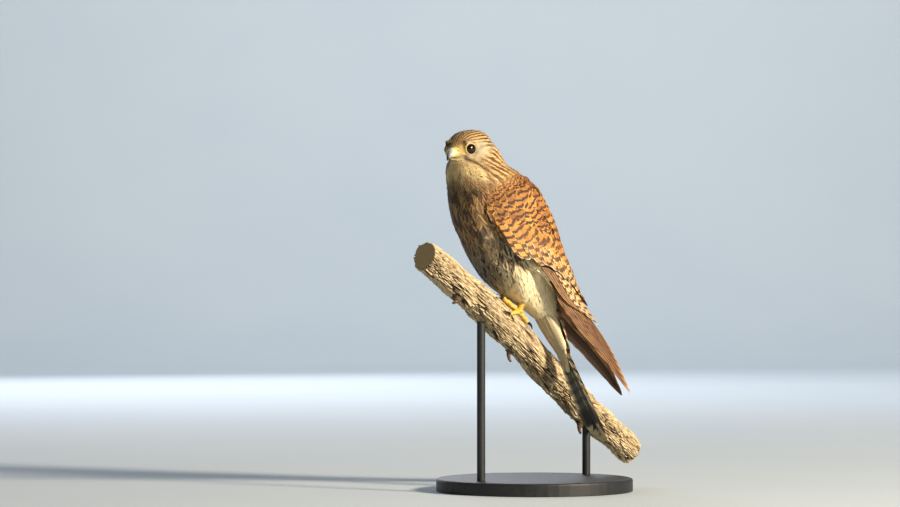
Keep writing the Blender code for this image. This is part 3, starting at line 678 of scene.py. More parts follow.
RUFOUS = colour("#97521a")
RUFOUS_PALE = colour("#d39a45")
BAR_BROWN = colour("#46270d")
CREAM = colour("#f3e0b2")
CHEEK = colour("#dccaa4")
CROWN = colour("#dcb072")
CROWN_STREAK = colour("#3c2410")
NAPE_TAN = colour("#dcb47a")
NAPE_BROWN = colour("#844b1c")
MOUSTACHE = colour("#4e2f14")
# painted light: the throat's cream, brightened for the sun that the head keeps off it
THROAT_CREAM_PAINTED_LIGHT = colour("#fbdc9c")
LORES = colour("#d9b763")
STREAK_BROWN = colour("#472c14")
BREAST = colour("#dcb06c")
BELLY = colour("#c9b283")
DROP_BROWN = colour("#150d07")
WING_BROWN = colour("#5e3615")
WING_EDGE = colour("#b98a55")
WING_DARK = colour("#38210f")
# painted shade: the tail's underside, darker than its own pale grey
PAINTED_SHADE_TAIL_GREY = colour("#5a5442")
# painted shade: the wing feathers' undersides, darker than their own pale barred colour
PAINTED_SHADE_UNDERWING = colour("#301f0e")
# painted shade in the crease at the wing's bend and down the middle of the belly
PAINTED_SHADE_GREY = colour("#4c4d47")
# Steps of the dark lines' wave in a radian: 3.7 mm from line to line round a head of
# 20 mm radius, and 3.6 mm round a neck of 17 mm
HEAD_LINES = 34.0
NECK_LINES = 30.0
# The share of belly feathers with a drop, dark all over, or paler than their neighbours
DROP_CHANCE = 0.34
DARK_CHANCE = 0.09
WISP_CHANCE = 0.22


def head_share(head):
    """1 on the head, 0 on the neck, from places in the head's axes."""
    off = (head - np.array([-13.0, 0.0, 1.0])) * np.array([0.9, 1.0, 1.15])
    return 1.0 - ease(22.0, 31.0, np.linalg.norm(off, axis=1))


def layered(tone, *layers):
    """A tone under layers, each a tone and how much of it shows, from 0 to 1."""
    for layer, amount in layers:
        tone = mix(tone, layer, np.clip(amount, 0.0, 1.0)[:, None])
    return tone


def blend(base, layer, amount):
    return layered(base, (layer, amount))


def belly_angle(body):
    """The angle round the trunk, from 0 at the back to 180 at the belly, in degrees."""
    s = body[:, 0]
    middle = 22.0 + 0.12 * (s - 60.0) * (s > 100.0)
    wide, deep = 36.0, 42.0
    return np.degrees(np.arctan2(np.abs(body[:, 2]) / wide, (body[:, 1] - middle) / deep))


def eye_distance(head):
    """How far places in the head's axes lie from the nearer eye's axis, in front of the ball."""
    far = 99.0
    nearest = np.full(len(head), far)
    for side in (1, -1):
        middle, axis, _, _ = eye_frame(side)
        rise, flat = off_axis(head, middle, axis)
        reach = np.linalg.norm(flat, axis=1)
        nearest = np.minimum(nearest, np.where(rise > 0.0, reach, far))
    return nearest


def wing_line(s):
    """The angle round the trunk at which the closed wing gives way to the breast and flank."""
    bend = 17.0 * ease(70.0, 86.0, s) * ease(118.0, 106.0, s)
    return 96.0 + bend - 34.0 * ease(62.0, 38.0, s) - 28.0 * ease(32.0, 12.0, s)


def patches(points, across, along):
    """Slow random change over places in the body's axes, from about -1 to 1."""
    scale = np.array([1.0 / along, 1.0 / across, 1.0 / across])
    return np.array([noise.noise(Vector(p)) for p in points * scale]) * 1.6


def neck_turn(points):
    """The angle round the line from the bill through the nape to the back."""
    start = moved(HEAD, (8.0, 0.0, -4.0))
    axis = unit(moved(BODY, (88.0, 34.0, 0.0)) - start)
    up = across_to(np.array([0.0, 0.0, 1.0]), axis)
    off = points - start
    return np.arctan2(off @ np.cross(axis, up), off @ up)


def thigh_share(points):
    """1 on the thighs' plumes and 0 off them."""
    share = np.zeros(len(points))
    for side in (1, -1):
        top, end = [moved(BIRD, mirrored(p, side)) for p in (THIGH_TOP, THIGH_END)]
        axis = end - top
        along = np.clip((points - top) @ axis / (axis @ axis), 0.0, 1.0)
        off = np.linalg.norm(points - top - along[:, None] * axis, axis=1)
        share = np.maximum(share, ease(20.0, 14.0, off))
    return share


def underside_tones(s, around, below, low, pale, patch, clumps, chance):
    """Tones of breast, flank and belly with painted shade, and how far a place is in the painted
    crease shade and on the flank.
    """
    shoulder = ease(100.0, 84.0, around) + 0.7 * ease(78.0, 100.0, s) * ease(150.0, 105.0, around)
    clumped = 0.9 * ease(0.0, 0.35, clumps)
    # painted shade: the breast darkens by up to 0.3 as it turns towards the belly
    shade = 1.0 - 0.3 * ease(118.0, 145.0, around)
    # painted shade: cool grey in the crease beside the wing's bend and down the middle of the belly
    painted_crease_shade = between((1.0, 5.0), (20.0, 32.0), below)
    painted_crease_shade = painted_crease_shade * between((62.0, 74.0), (92.0, 101.0), s + 5.0 * patch)
    middle = low * ease(24.0, 44.0, s + 4.0 * patch) * ease(108.0, 128.0, around)
    flank = between((2.0, 6.0), (34.0, 52.0), below)
    flank = flank * between((34.0, 46.0), (60.0, 74.0), s + 6.0 * patch)
    wisps = (painted_crease_shade + flank) * (chance > 1.0 - WISP_CHANCE)
    breast = layered(
        BREAST, (NAPE_BROWN, 0.3 + 0.5 * patch), (RUFOUS, 0.8 * shoulder),
        (STREAK_BROWN, clumped), (BELLY, low),
    )
    tone = layered(
        breast * shade[:, None], (CREAM, pale),
        (PAINTED_SHADE_GREY, np.maximum(0.8 * painted_crease_shade, 0.75 * middle)),
        (NAPE_BROWN * 0.5, 0.8 * flank), (CREAM, 0.5 * wisps),
    )
    return tone, painted_crease_shade, flank


def head_tones(head, patch, vary):
    """Lines from the bill over the crown, paler and finer to the cheek, and the moustache."""
    x, y, z = head.T
    side = np.abs(y)
    up = np.degrees(np.arctan2(side, z + 2.0))
    face = ease(50.0, 78.0, up)
    rear = ease(-9.0, -17.0, x)
    low_face = ease(2.0, -7.0, z + 9.0 + 0.25 * (x + 8.0))
    lines = np.cos(np.radians(up) * HEAD_LINES + x * 0.1 + patch + vary * 0.2) + 0.3 * rear
    strong = (0.9 * (1.0 - face) + 0.85 * face * rear + 0.1) * ease(11.0, 8.0, x)
    strong = strong * (1.0 - 0.7 * low_face)
    lores = between((2.0, 4.5), (10.0, 13.0), x) * between((-7.0, -4.5), (2.0, 4.5), z)
    brow = between((4.0, 6.0), (8.5, 11.0), z) * between((-9.0, -5.0), (6.0, 9.0), x)
    # the dark streak from the mouth's corner, and a dusky line behind the eye
    down = -(z + 4.0)
    stripe = np.exp(-((x - 7.3 + 0.55 * down) / 1.9) ** 2) * between((1.0, 3.0), (15.0, 20.0), down)
    stripe = stripe * ease(5.0, 8.0, side)
    behind = np.exp(-((z - 1.5 + 0.2 * (x + 6.0)) / 1.2) ** 2)
    behind = behind * between((-26.0, -20.0), (-8.0, -6.0), x)
    # painted shade round the eye, to set it deep, and painted shade on the brow, darker on the
    # right than on the left, the side turned from the light
    to_eye = eye_distance(head)
    socket = 0.35 + 0.15 * ease(-1.0, 5.0, z) + 0.4 * ease(2.0, -4.0, x)
    painted_right_brow_shade = ease(16.0, 11.0, to_eye) * ease(3.0, 7.0, -y) * ease(1.0, 4.0, z)
    tone = layered(
        CROWN, (CHEEK, face), (NAPE_TAN, 0.6 * face * rear),
        (THROAT_CREAM_PAINTED_LIGHT, low_face * ease(-9.0, -1.0, x)), (CROWN_STREAK, ease(0.0, 0.6, lines) * strong),
        (LORES, 0.8 * lores), (CHEEK, brow * ease(7.0, 9.5, side) * 0.15),
        (MOUSTACHE, stripe * (0.85 + 0.15 * vary)),
        (CROWN_STREAK, 0.45 * behind * ease(7.0, 10.0, side)),
        (CROWN_STREAK, 0.55 * ease(9.5, 7.0, to_eye) * socket), (CROWN_STREAK, 0.8 * painted_right_brow_shade),
    )
    return tone, stripe


def markings(points, vary, chance):
    """Colours and strengths at places, with a normal and an even random number for each."""
    body = moved(BODY.inverted(), points)
    head = moved(HEAD.inverted(), points)
    s = body[:, 0]
    around = belly_angle(body)
    below = around - wing_line(s)
    patch = patches(body, 7.0, 30.0)
    clumps = patches(body + 40.0, 3.6, 15.0)
    tone = blend(RUFOUS, RUFOUS_PALE, 0.1 + 0.2 * vary + 0.45 * ease(30.0, 90.0, around))
    tone = blend(tone, NAPE_BROWN, 0.5 * ease(88.0, 112.0, s + 5.0 * patch))

    # underside: brown streaks on the upper breast, drops below, plain cream on thighs and vent
    under = ease(0.0, 12.0, below + vary * 2.0)
    low = ease(92.0, 62.0, s + vary * 3.0)
    pale = np.maximum(ease(46.0, 26.0, s + vary * 3.0), thigh_share(points))
    belly, painted_crease_shade, flank = underside_tones(s, around, below, low, pale, patch, clumps, chance)
    tone = blend(tone, belly, under)
    mark = blend(BAR_BROWN, blend(STREAK_BROWN, DROP_BROWN, low), under)
    edge = blend(RUFOUS_PALE * 1.08, CREAM, under)
    streak = (1.0 - low) * (1.0 - 0.6 * painted_crease_shade) * np.clip(0.9 + 0.5 * patch, 0.0, 1.0)
    streak = under * np.maximum(streak, 0.9 * flank)
    drop = under * low * (1.0 - pale) * (chance < DROP_CHANCE)
    drop = drop * ease(106.0, 118.0, around) * ease(20.0, 30.0, s)
    tone = blend(tone, DROP_BROWN, 0.85 * drop * (chance < DARK_CHANCE))
    fringe = 0.8 * (1.0 - under) + (0.12 + 0.23 * low) * under

    # neck and nape: dark lines that run back
    high = ease(110.0, 122.0, s)
    over = high * ease(118.0, 96.0, around)
    tone = blend(tone, NAPE_TAN, over)
    mark = blend(mark, CROWN_STREAK, high)
    lines = np.cos(neck_turn(points) * NECK_LINES + patch + vary * 0.15)
    tone = blend(tone, CROWN_STREAK, 0.95 * ease(-0.4, 0.2, lines) * over)
    streak = streak * (1.0 - high) + 0.8 * high * ease(96.0, 118.0, around)

    # head
    on_head = head_share(head)
    off_head = 1.0 - on_head
    x, _, z = head.T
    skull, stripe = head_tones(head, patch, vary)
    tone = blend(tone, skull, on_head)
    # the pale throat, its cream brightened as painted light, runs down into the breast, with the
    # moustache beside it
    throat = between((-40.0, -20.0), (-11.0, -8.0), z + 6.0 * clumps)
    throat = throat * ease(-6.0, 3.0, x + 2.0 * clumps) * (1.0 - 0.5 * on_head)
    tone = blend(tone, THROAT_CREAM_PAINTED_LIGHT, 0.95 * throat)
    # brown comes up behind it to the cheek's lower edge
    collar = between((-96.0, -66.0), (-19.5, -15.5), z + 2.0 * clumps + 0.6 * vary)
    collar = collar * ease(0.0, -6.0, x) * ease(98.0, 112.0, around)
    brown = blend(NAPE_BROWN, STREAK_BROWN, ease(0.0, 0.4, clumps))
    tone = blend(tone, brown, 0.8 * collar)
    tone = blend(tone, MOUSTACHE, stripe * 0.9)
    tone = tone * (1.0 + 0.07 * vary * (1.0 - 0.4 * on_head))[:, None]
    bars = (1.0 - under) * (1.0 - high) * off_head
    streak = streak * (1.0 - 0.75 * throat) * off_head
    pattern = np.stack([bars, streak, drop * (1.0 - high), fringe * off_head], -1)
    return [np.clip(part, 0.0, 1.0) for part in (tone, mark, edge)] + [pattern]


def paint_skin(mesh, surface):
    """The skin's tones follow the coat's, with its marks mixed in at a share."""
    draw = np.random.default_rng(SEED)
    count = len(surface.points)
    chances = draw.normal(0.0, 1.0, count), draw.random(count)
    tone, mark, _, pattern = markings(surface.points, *chances)
    give_colour(mesh, "tone", blend(tone, mark, 0.35 * pattern[:, :3].max(1)) * 0.8)


# Feathers that follow the skin


def feather_sizes(points):
    """Length, width and spacing of the small feathers, in millimetres, at each place."""
    body = moved(BODY.inverted(), points)
    head = moved(HEAD.inverted(), points)
    s = body[:, 0]
    under = ease(92.0, 112.0, belly_angle(body))
    down = under * ease(70.0, 46.0, s)
    on_head = head_share(head)
    vent = np.maximum(ease(34.0, 14.0, s), thigh_share(points))
    sizes = np.stack([
        14.0 + 2.5 * under, 9.5 - 2.2 * under - 2.6 * down, 4.6 - 1.2 * under - 0.8 * down,
    ])
    for share, zone in (
        (vent, (13.0, 3.6, 2.3)),
        (ease(104.0, 124.0, s), (7.2, 2.5, 1.7)),
        (on_head, (4.0, 1.3, 1.0)),
        (on_head * ease(-12.0, 0.0, head[:, 0]), (2.1, 0.8, 0.68)),
    ):
        sizes = mix(sizes, np.array(zone)[:, None], share)
    sizes[0] *= 1.0 - 0.55 * ease(13.0, 8.5, eye_distance(head))
    return sizes


def lie(points, normals):
    """The way the feathers point: back from the bill on the head, to the tail on the body."""
    body = moved(BODY.inverted(), points)
    head = moved(HEAD.inverted(), points)
    back = np.zeros((len(points), 3))
    back[:, 0] = -1.0
    back[:, 1] = -0.12 * ease(92.0, 120.0, belly_angle(body))
    off = head - np.array([12.0, 0.0, -3.0])
    far = ease(26.0, 40.0, np.linalg.norm(off, axis=1))
    neck = 0.9 * ease(98.0, 126.0, body[:, 0])
    ahead = np.maximum(head_share(head) * (1.0 - 0.35 * far), neck)
    return across_to(mix(swung(BODY, back), unit(swung(HEAD, off)), ahead[:, None]), normals)


def scatter(surface, draw):
    """Places for the small feathers, no nearer to each other than their spacing."""
    centres = surface.points[surface.faces].mean(1)
    gap = feather_sizes(centres)[2]
    wanted = surface.areas / gap**2 * 7.0
    counts = draw.poisson(wanted)
    index = np.repeat(np.arange(len(counts)), counts)
    draw.shuffle(index)
    weights = draw.random((len(index), 2))
    flip = weights.sum(1) > 1.0
    weights[flip] = 1.0 - weights[flip]
    a, b, c = (surface.points[surface.faces[index, i]] for i in range(3))
    points = a + (b - a) * weights[:, :1] + (c - a) * weights[:, 1:]
    gap = feather_sizes(points)[2]
    tree = KDTree(len(points))
    for i, point in enumerate(points):
        tree.insert(point, i)
    tree.balance()
    free = np.ones(len(points), bool)
    kept = []
    for i, point in enumerate(points):
        if free[i]:
            kept.append(i)
            for _, near, _ in tree.find_range(point, gap[i]):
                free[near] = False
    kept = np.array(kept)
    corners = surface.uv[index[kept]]
    w = weights[kept]
    places = corners[:, 0] * (1 - w.sum(1))[:, None]
    places = places + corners[:, 1] * w[:, :1] + corners[:, 2] * w[:, 1:]
    return points[kept], index[kept], places


DOWN_SHADE = 1.6  # how much a small feather shades as the body, against its own shape
UNDER_SKIN = 0.5  # how deep a small feather's root lies
CURL = 40.0  # the radius of a small feather across its vane


class Coat:
    """Feathers gathered into one mesh."""

    def __init__(self):
        self.parts = []
        self.faces = []
        self.count = 0

    def add(self, points, faces, **values):
        self.parts.append({"points": points, **values})
        self.faces.append(np.asarray(faces) + self.count)
        self.count += len(points)

    def build(self, name, finish, slot):
        merged = {key: np.concatenate([part[key] for part in self.parts]) for key in self.parts[0]}
        mesh = mesh_from(name, merged["points"], np.concatenate(self.faces))
        give_map(mesh, "vane", merged["vane"])
        give_map(mesh, "OFBake", merged["bake"])
        mesh.uv_layers.active = mesh.uv_layers["OFBake"]
        for key in ("tone", "mark", "edge", "pattern"):
            give_colour(mesh, key, merged[key])
        for key in ("bar_count", "shift", "long"):
            give_number(mesh, key, merged[key])
        if np.any(merged["soft"]):
            # loose barbs let light through, so the coat shades nearly as the body under it
            loose = unit(merged["soft"] * DOWN_SHADE + rows_of(mesh.vertices, "normal", 3))
            mesh.normals_split_custom_set_from_vertices(loose)
        return link(name, mesh, finish, slot)


def grid(along, across):
    """A feather's own net from its places along and across: v, u and its triangles."""
    v, u = np.meshgrid(along, across, indexing="ij")
    i, j = np.meshgrid(np.arange(len(along) - 1), np.arange(len(across) - 1), indexing="ij")
    a = (i * len(across) + j).ravel()
    b = a + len(across)
    faces = np.concatenate([np.stack([a, a + 1, b + 1], -1), np.stack([a, b + 1, b], -1)])
    return v.ravel(), u.ravel(), faces


def small_feathers(coat, surface, roots, index, places, net, draw, full, fray, lifts, lined):
    """Blades from roots on the skin that follow it to their tips.

    net gives their rows and columns, full the share of the length at full width. A lined
    coat takes its colours where each point lies, and another where the root is.
    """
    rows, columns = net
    count = len(roots)
    long, wide, _ = feather_sizes(roots)
    long = long * draw.uniform(0.85, 1.15, count)
    wide = wide * draw.uniform(0.88, 1.12, count)
    normals = unit(surface.normals[surface.faces[index]].mean(1))
    flow = lie(roots, normals)
    flow = unit(flow + np.cross(normals, flow) * draw.normal(0.0, 0.13, count)[:, None])
    spine = [roots]
    ups = [normals]
    heading = flow
    for _ in range(rows):
        point, up, _ = surface.nearest(spine[-1] + heading * (long / rows)[:, None])
        heading = across_to(heading, up)
        spine.append(point)
        ups.append(up)
    spine = np.stack(spine, 1)
    ups = np.stack(ups, 1)
    heads = unit(np.gradient(spine, axis=1))
    sides = np.cross(ups, heads)

    v, u, faces = grid(np.linspace(0.0, 1.0, rows + 1), np.linspace(-1.0, 1.0, columns + 1))
    row = np.repeat(np.arange(rows + 1), columns + 1)
    past = np.maximum((v - full) / (1.0 - full), 0.0)
    half = (0.45 + 0.55 * ease(0.0, 0.4, v)) * np.sqrt(np.clip(1.0 - past**2, 0.02, 1.0))
    bite = np.clip(draw.normal(0.0, fray, (count, len(v))), -0.8 / columns, 0.8 / columns)
    reach = half * u * (1.0 + bite * (np.abs(u) > 0.4)) * wide[:, None] / 2
    tip_lift = (draw.uniform(*lifts, count) * np.clip(long / 2.4, 0.3, 1.0))[:, None]
    curl = -(u**2) * (wide[:, None] / 2) ** 2 / (2.0 * CURL)
    lift = -UNDER_SKIN + (tip_lift + UNDER_SKIN) * v**0.75 + curl
    step = 0.4 / rows
    slip = np.clip(draw.normal(0.0, 0.4 * fray, (count, len(v))), -step, step) * ease(0.4, 1.0, v)
    tips = np.abs(draw.normal(0.0, 0.45 * fray, (count, len(v)))) * (v > 0.99)
    slip = (slip + tips) * long[:, None]
    points = spine[:, row] + sides[:, row] * reach[..., None] + ups[:, row] * lift[..., None]
    points = points + heads[:, row] * slip[..., None]
    repeat = len(v)
    vary, chance = draw.normal(0.0, 1.0, count), draw.random(count)
    if lined:
        look = markings(points.reshape(-1, 3), np.repeat(vary, repeat), np.repeat(chance, repeat))
    else:
        look = [np.repeat(part, repeat, 0) for part in markings(roots + normals, vary, chance)]
    tone, mark, edge, pattern = look
    spot = np.stack([u * 0.0015, (v - 0.5) * 0.003], -1)
    starts = (np.arange(count) * repeat)[:, None, None]
    coat.add(
        points.reshape(-1, 3), (faces[None, :, ::-1] + starts).reshape(-1, 3),
        soft=ups[:, row].reshape(-1, 3), vane=np.tile(np.stack([(u + 1) / 2, v], -1), (count, 1)),
        bake=(places[:, None] + spot[None]).reshape(-1, 2),
        tone=tone, mark=mark, edge=edge, pattern=pattern, bar_count=np.full(count * repeat, 2.3),
        shift=np.repeat(draw.uniform(0.05, 0.3, count), repeat), long=np.repeat(long, repeat),
    )


# The long feathers


VANE_RISE = 20.0  # the length over which a feather leaves the arm
VANE_THICK = 0.5
VANE_TIP = 0.12  # the tip's width as a share of the vane's
VANE_CROWN = 0.07
SHAFT_RIDGE = 0.35
SHAFT_HALF = 0.05
ALONG = np.linspace(0.0, 1.0, 31) ** 0.92  # the rows of a long feather's net
OVER = np.array([-1.0, -0.88, -0.6, -0.3, -0.06, 0.0, 0.06, 0.3, 0.6, 0.88, 1.0])

# Tiers on the closed wing, each from its first feather to its last: count, tip's s and angle,
# root's angle, then length, width, lift off the form, sink of the root, taper
WING_TIERS = {
    "primary": (
        10, (-136.0, -68.0), (53.0, 23.0), (74.0, 47.0),
        (152.0, 102.0), (15.0, 16.0), (-1.6, 1.4), 3.6, 0.45,
    ),
    "secondary": (
        11, (-24.0, -58.0), (61.0, 20.0), (77.0, 42.0),
        (64.0, 90.0), (14.0, 15.0), (2.5, 4.0), 5.4, 0.6,
    ),
    "tertial": (
        5, (-6.0, -32.0), (40.0, 16.0), (46.0, 18.0),
        (46.0, 62.0), (15.0, 16.0), (5.6, 6.5), 8.4, 0.65,
    ),
    "greater": (
        13, (42.0, -4.0), (95.0, 42.0), (99.0, 46.0),
        (42.0, 54.0), (13.0, 14.0), (4.0, 5.8), 6.5, 0.65,
    ),
    "median": (
        14, (62.0, 16.0), (99.0, 34.0), (103.0, 38.0),
        (24.0, 28.0), (11.0, 13.0), (4.2, 6.2), 6.0, 0.65,
    ),
    "scapular": (
        11, (82.0, -12.0), (43.0, 25.0), (34.0, 18.0),
        (20.0, 40.0), (12.0, 14.0), (0.9, 7.2), 5.0, 0.55,
    ),
    "inner": (
        11, (85.0, -4.0), (27.0, 15.0), (19.0, 10.0),
        (19.0, 36.0), (12.0, 13.0), (0.7, 6.8), 4.5, 0.55,
    ),
    "mantle": (
        10, (88.0, 2.0), (11.0, 5.0), (5.0, 2.0),
        (18.0, 28.0), (13.0, 13.0), (0.6, 5.8), 4.5, 0.5,
    ),
}
ON_BACK = ("scapular", "inner", "mantle")
WING_TIP_SHIFT = {1: 2.5, -1: -2.0}
LEAD_PRIMARY_SHORTER = 6.0
VANE_TILT = 0.15

TAIL_TAN = colour("#bd8f5c")
TAIL_BAND = colour("#241b15")
TAIL_PAIRS = 6
TAIL_LENGTH = 136.0
TAIL_GRADE = 15.0
TAIL_ROOT = 12.0
TAIL_WIDTH = 14.0
TAIL_CROSS = 6.0
TAIL_ROOT_HALF = 8.0
TAIL_SPREAD = 1.7
TAIL_LAYER = 0.95
TAIL_ROOF = 0.22
TAIL_COVERTS = 8
COVERT_ROOT = -6.0
COVERT_WIDTH = 12.0


def vane_net():
    """A long feather's places along and across, and the faces of its front, back and rim."""
    v, u, faces = grid(ALONG, OVER)
    size = len(OVER)
    count = len(v)
    ring = np.concatenate([
        np.arange(size), np.arange(1, len(ALONG)) * size + size - 1,
        count - size + np.arange(size - 2, -1, -1), np.arange(len(ALONG) - 2, 0, -1) * size,
    ])
    follow = np.roll(ring, -1)
    rim = [[ring, ring + count, follow + count], [ring, follow + count, follow]]
    rim = np.concatenate([np.stack(corners, -1) for corners in rim])
    return v, u, np.concatenate([faces, faces[:, ::-1] + count, rim])


VANE_V, VANE_U, VANE_FACES = vane_net()


def vane(coat, place, width, taper, paint, below, tile, draw, shaft=0.0):
    """A closed flight feather with a shaft ridge, painted above and below.

    place(along, across) gives points and the outward directions there. shaft is how far
    the shaft lies off the middle, and tile where the feather lies on its coat's map.
    """
    v, u = VANE_V, VANE_U
    past = np.maximum(v - taper, 0.0) / (1.0 - taper)
    half = width / 2 * (0.5 + 0.5 * ease(0.0, 0.3, v))
    half = half * np.sqrt(np.clip(1.0 - past**2, VANE_TIP**2, 1.0))
    notch = 1.0 - 0.05 * np.abs(draw.normal(0.0, 1.0, len(v))) * (np.abs(u) > 0.95)
    points, out = place(v, half * (u * notch + shaft * (1.0 - u**2)))
    ridge = SHAFT_RIDGE * np.exp(-(u / SHAFT_HALF) ** 2) * (1.0 - v) ** 0.5
    crown = (1.0 - u**2) * half * VANE_CROWN + ridge
    body = VANE_THICK * (1.0 - 0.5 * v) * (1.0 - 0.8 * u**2)
    front = points + out * (crown + body / 2)[:, None]
    back = points + out * (crown - ridge * 0.4 - body / 2)[:, None]
    level = np.ones((len(v), 1))
    tone, mark, edge, pattern, bars, shift = [
        np.vstack([level * upper, level * lower]) for upper, lower in zip(paint, below)
    ]
    spot = np.tile(np.stack([(u + 1) / 2, v], -1), (2, 1))
    tile_at, tile_size = tile
    coat.add(
        np.vstack([front, back]), VANE_FACES, soft=np.zeros((len(spot), 3)), vane=spot,
        bake=tile_at + tile_size * (0.04 + 0.92 * spot), tone=tone, mark=mark, edge=edge,
        pattern=pattern, bar_count=bars[:, 0], shift=shift[:, 0], long=np.full(len(spot), 60.0),
    )


def tiles(count):
    """Square places on a map for a number of feathers."""
    side = math.ceil(math.sqrt(count))
    return [(np.array([i % side, i // side]) / side, 1.0 / side) for i in range(count)]


WING_BARS = {"secondary": 10.0, "tertial": 7.0, "greater": 4.6}
COVERT_BARS = 3.2


def wing_paint(kind, share, draw):
    """Tone, mark, edge, strengths, and the bars' number and shift of a wing feather, and below."""
    vary = 1.0 + 0.08 * draw.normal()
    # below: faintly barred undersides, darkened nearly to black by painted shade, as they lie under
    # the closed wing
    below = (PAINTED_SHADE_UNDERWING * vary, WING_DARK, WING_EDGE, (0.35, 0.0, 0.0, 0.3), 8.0, 0.2)
    if kind == "primary" or (kind == "secondary" and share < 0.35):
        tone = mix(WING_BROWN, WING_DARK, draw.uniform(0.0, 0.4))
        return (tone * vary, BAR_BROWN, WING_EDGE, (0.0, 0.0, 0.0, 1.0), 9.0, 0.3), below
    lowest = 0.1 if kind in ON_BACK else 0.4
    tone = mix(RUFOUS, RUFOUS_PALE, draw.uniform(lowest, lowest + 0.5))
    bars = WING_BARS.get(kind, COVERT_BARS) * draw.uniform(0.92, 1.1)
    edge = CREAM * 0.95 if kind in WING_BARS else RUFOUS_PALE * 1.1
    pattern = (draw.uniform(0.8, 1.0), 0.0, 0.0, 0.95)
    return (tone * vary, BAR_BROWN, edge, pattern, bars, draw.uniform(0.0, 0.5)), below


def make_wing(side, word, finish):
    """The feathers of a closed wing, tier over tier."""
    draw = np.random.default_rng(SEED + 10 + side)
    coat = Coat()
    spots = iter(tiles(sum(tier[0] for tier in WING_TIERS.values())))
    for kind, tier in WING_TIERS.items():
        count, tip_s, tip_angle, root_angle, length, width, lift, sink, taper = tier
        on_back = kind in ON_BACK
        tilt = -0.1 if on_back else VANE_TILT
        for index in range(count):
            share = index / (count - 1)
            end = mix(*tip_s, share) + draw.uniform(-1.4, 1.4)
            if kind == "primary":
                end += WING_TIP_SHIFT[side] + (LEAD_PRIMARY_SHORTER if index == 0 else 0.0)
            start = end + mix(*length, share)
            loose = 0.0 if kind in ("primary", "secondary") else draw.normal(0.0, 2.2)
            first = math.radians(mix(*root_angle, share) + loose * 0.4)
            last = math.radians(mix(*tip_angle, share) + loose)
            height = mix(*lift, share**2.2 if on_back else share)

            def place(along, across):
                s = mix(start, end, along)
                middle = mix(first, last, along)
                _, depth, wide = curve(WING_FORM, s)
                arc = np.hypot(depth * np.sin(middle), wide * np.cos(middle))
                rise = height - sink * np.maximum(1.0 - (start - s) / VANE_RISE, 0.0)
                return wing_point(s, middle - across / arc, rise - across * tilt, side)

            broad = mix(*width, share) * draw.uniform(0.95, 1.05)
            paint, below = wing_paint(kind, share, draw)
            shaft = -0.2 if kind == "primary" else -0.05
            vane(coat, place, broad, taper, paint, below, next(spots), draw, shaft)
    wing = coat.build(f"wing_{word}_feathers", finish, "flight_feather")
    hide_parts(f"wing_{word}")


def tail_paint(rank, draw):
    """A tail feather above and below: bars, a broad dark band before the tip, and a pale end."""
    band = between((0.79, 0.815), (0.945, 0.965), VANE_V)[:, None]
    end = ease(0.945, 0.965, VANE_V)[:, None]
    # the outermost pair's outer web is cream on both faces
    web = ease(0.2, 0.5, VANE_U)[:, None] * ease(3.5, 5.0, rank)
    bare = 0.0 * band
    faces = []
    # the underside's ground is grey darkened by painted shade, with fainter bars
    for ground, strength, pale in ((TAIL_TAN, 1.0, 0.1 * rank), (PAINTED_SHADE_TAIL_GREY, 0.6, 0.0)):
        tone = mix(ground, CREAM, pale) * (1.0 + 0.04 * draw.normal())
        tone = mix(tone, CREAM, web)
        tone = tone + (TAIL_BAND - tone) * band * (0.6 + 0.4 * strength)
        tone = mix(tone, CREAM, end)
        bars = strength * (1.0 - np.maximum(band, end))
        pattern = np.hstack([bars, bare, bare, 0.5 - 0.45 * band])
        faces.append((tone, TAIL_BAND, CREAM, pattern, 11.0, 0.15))
    return faces


def tail_feathers(coat, spots, draw):
    """Twelve feathers in a shallow roof, the middle pair on top."""
    for rank in range(TAIL_PAIRS):
        for side in (1, -1):
            graded = TAIL_GRADE * (rank / (TAIL_PAIRS - 1)) ** 1.4
            length = TAIL_LENGTH - graded + draw.uniform(-0.8, 0.8)
            level = TAIL_LAYER * (TAIL_PAIRS / 2 - rank + 0.5 * (side < 0))

            def place(along, across):
                part = across / (TAIL_WIDTH / 2)
                inner = -TAIL_CROSS * (1.0 - rank / (TAIL_PAIRS - 1))
                outer = TAIL_ROOT_HALF + TAIL_SPREAD * rank * ease(0.0, 1.0, along)
                y = (outer + inner) / 2 + part * (outer - inner) / 2
                x = mix(TAIL_ROOT, length, along)
                points = np.stack([x, side * y, level - np.abs(y) * TAIL_ROOF], -1)
                out = np.tile([0.0, side * TAIL_ROOF, 1.0], (len(x), 1))
                return moved(TAIL, points), unit(swung(TAIL, out))

            vane(coat, place, TAIL_WIDTH, 0.8, *tail_paint(rank, draw), next(spots), draw, 0.15)


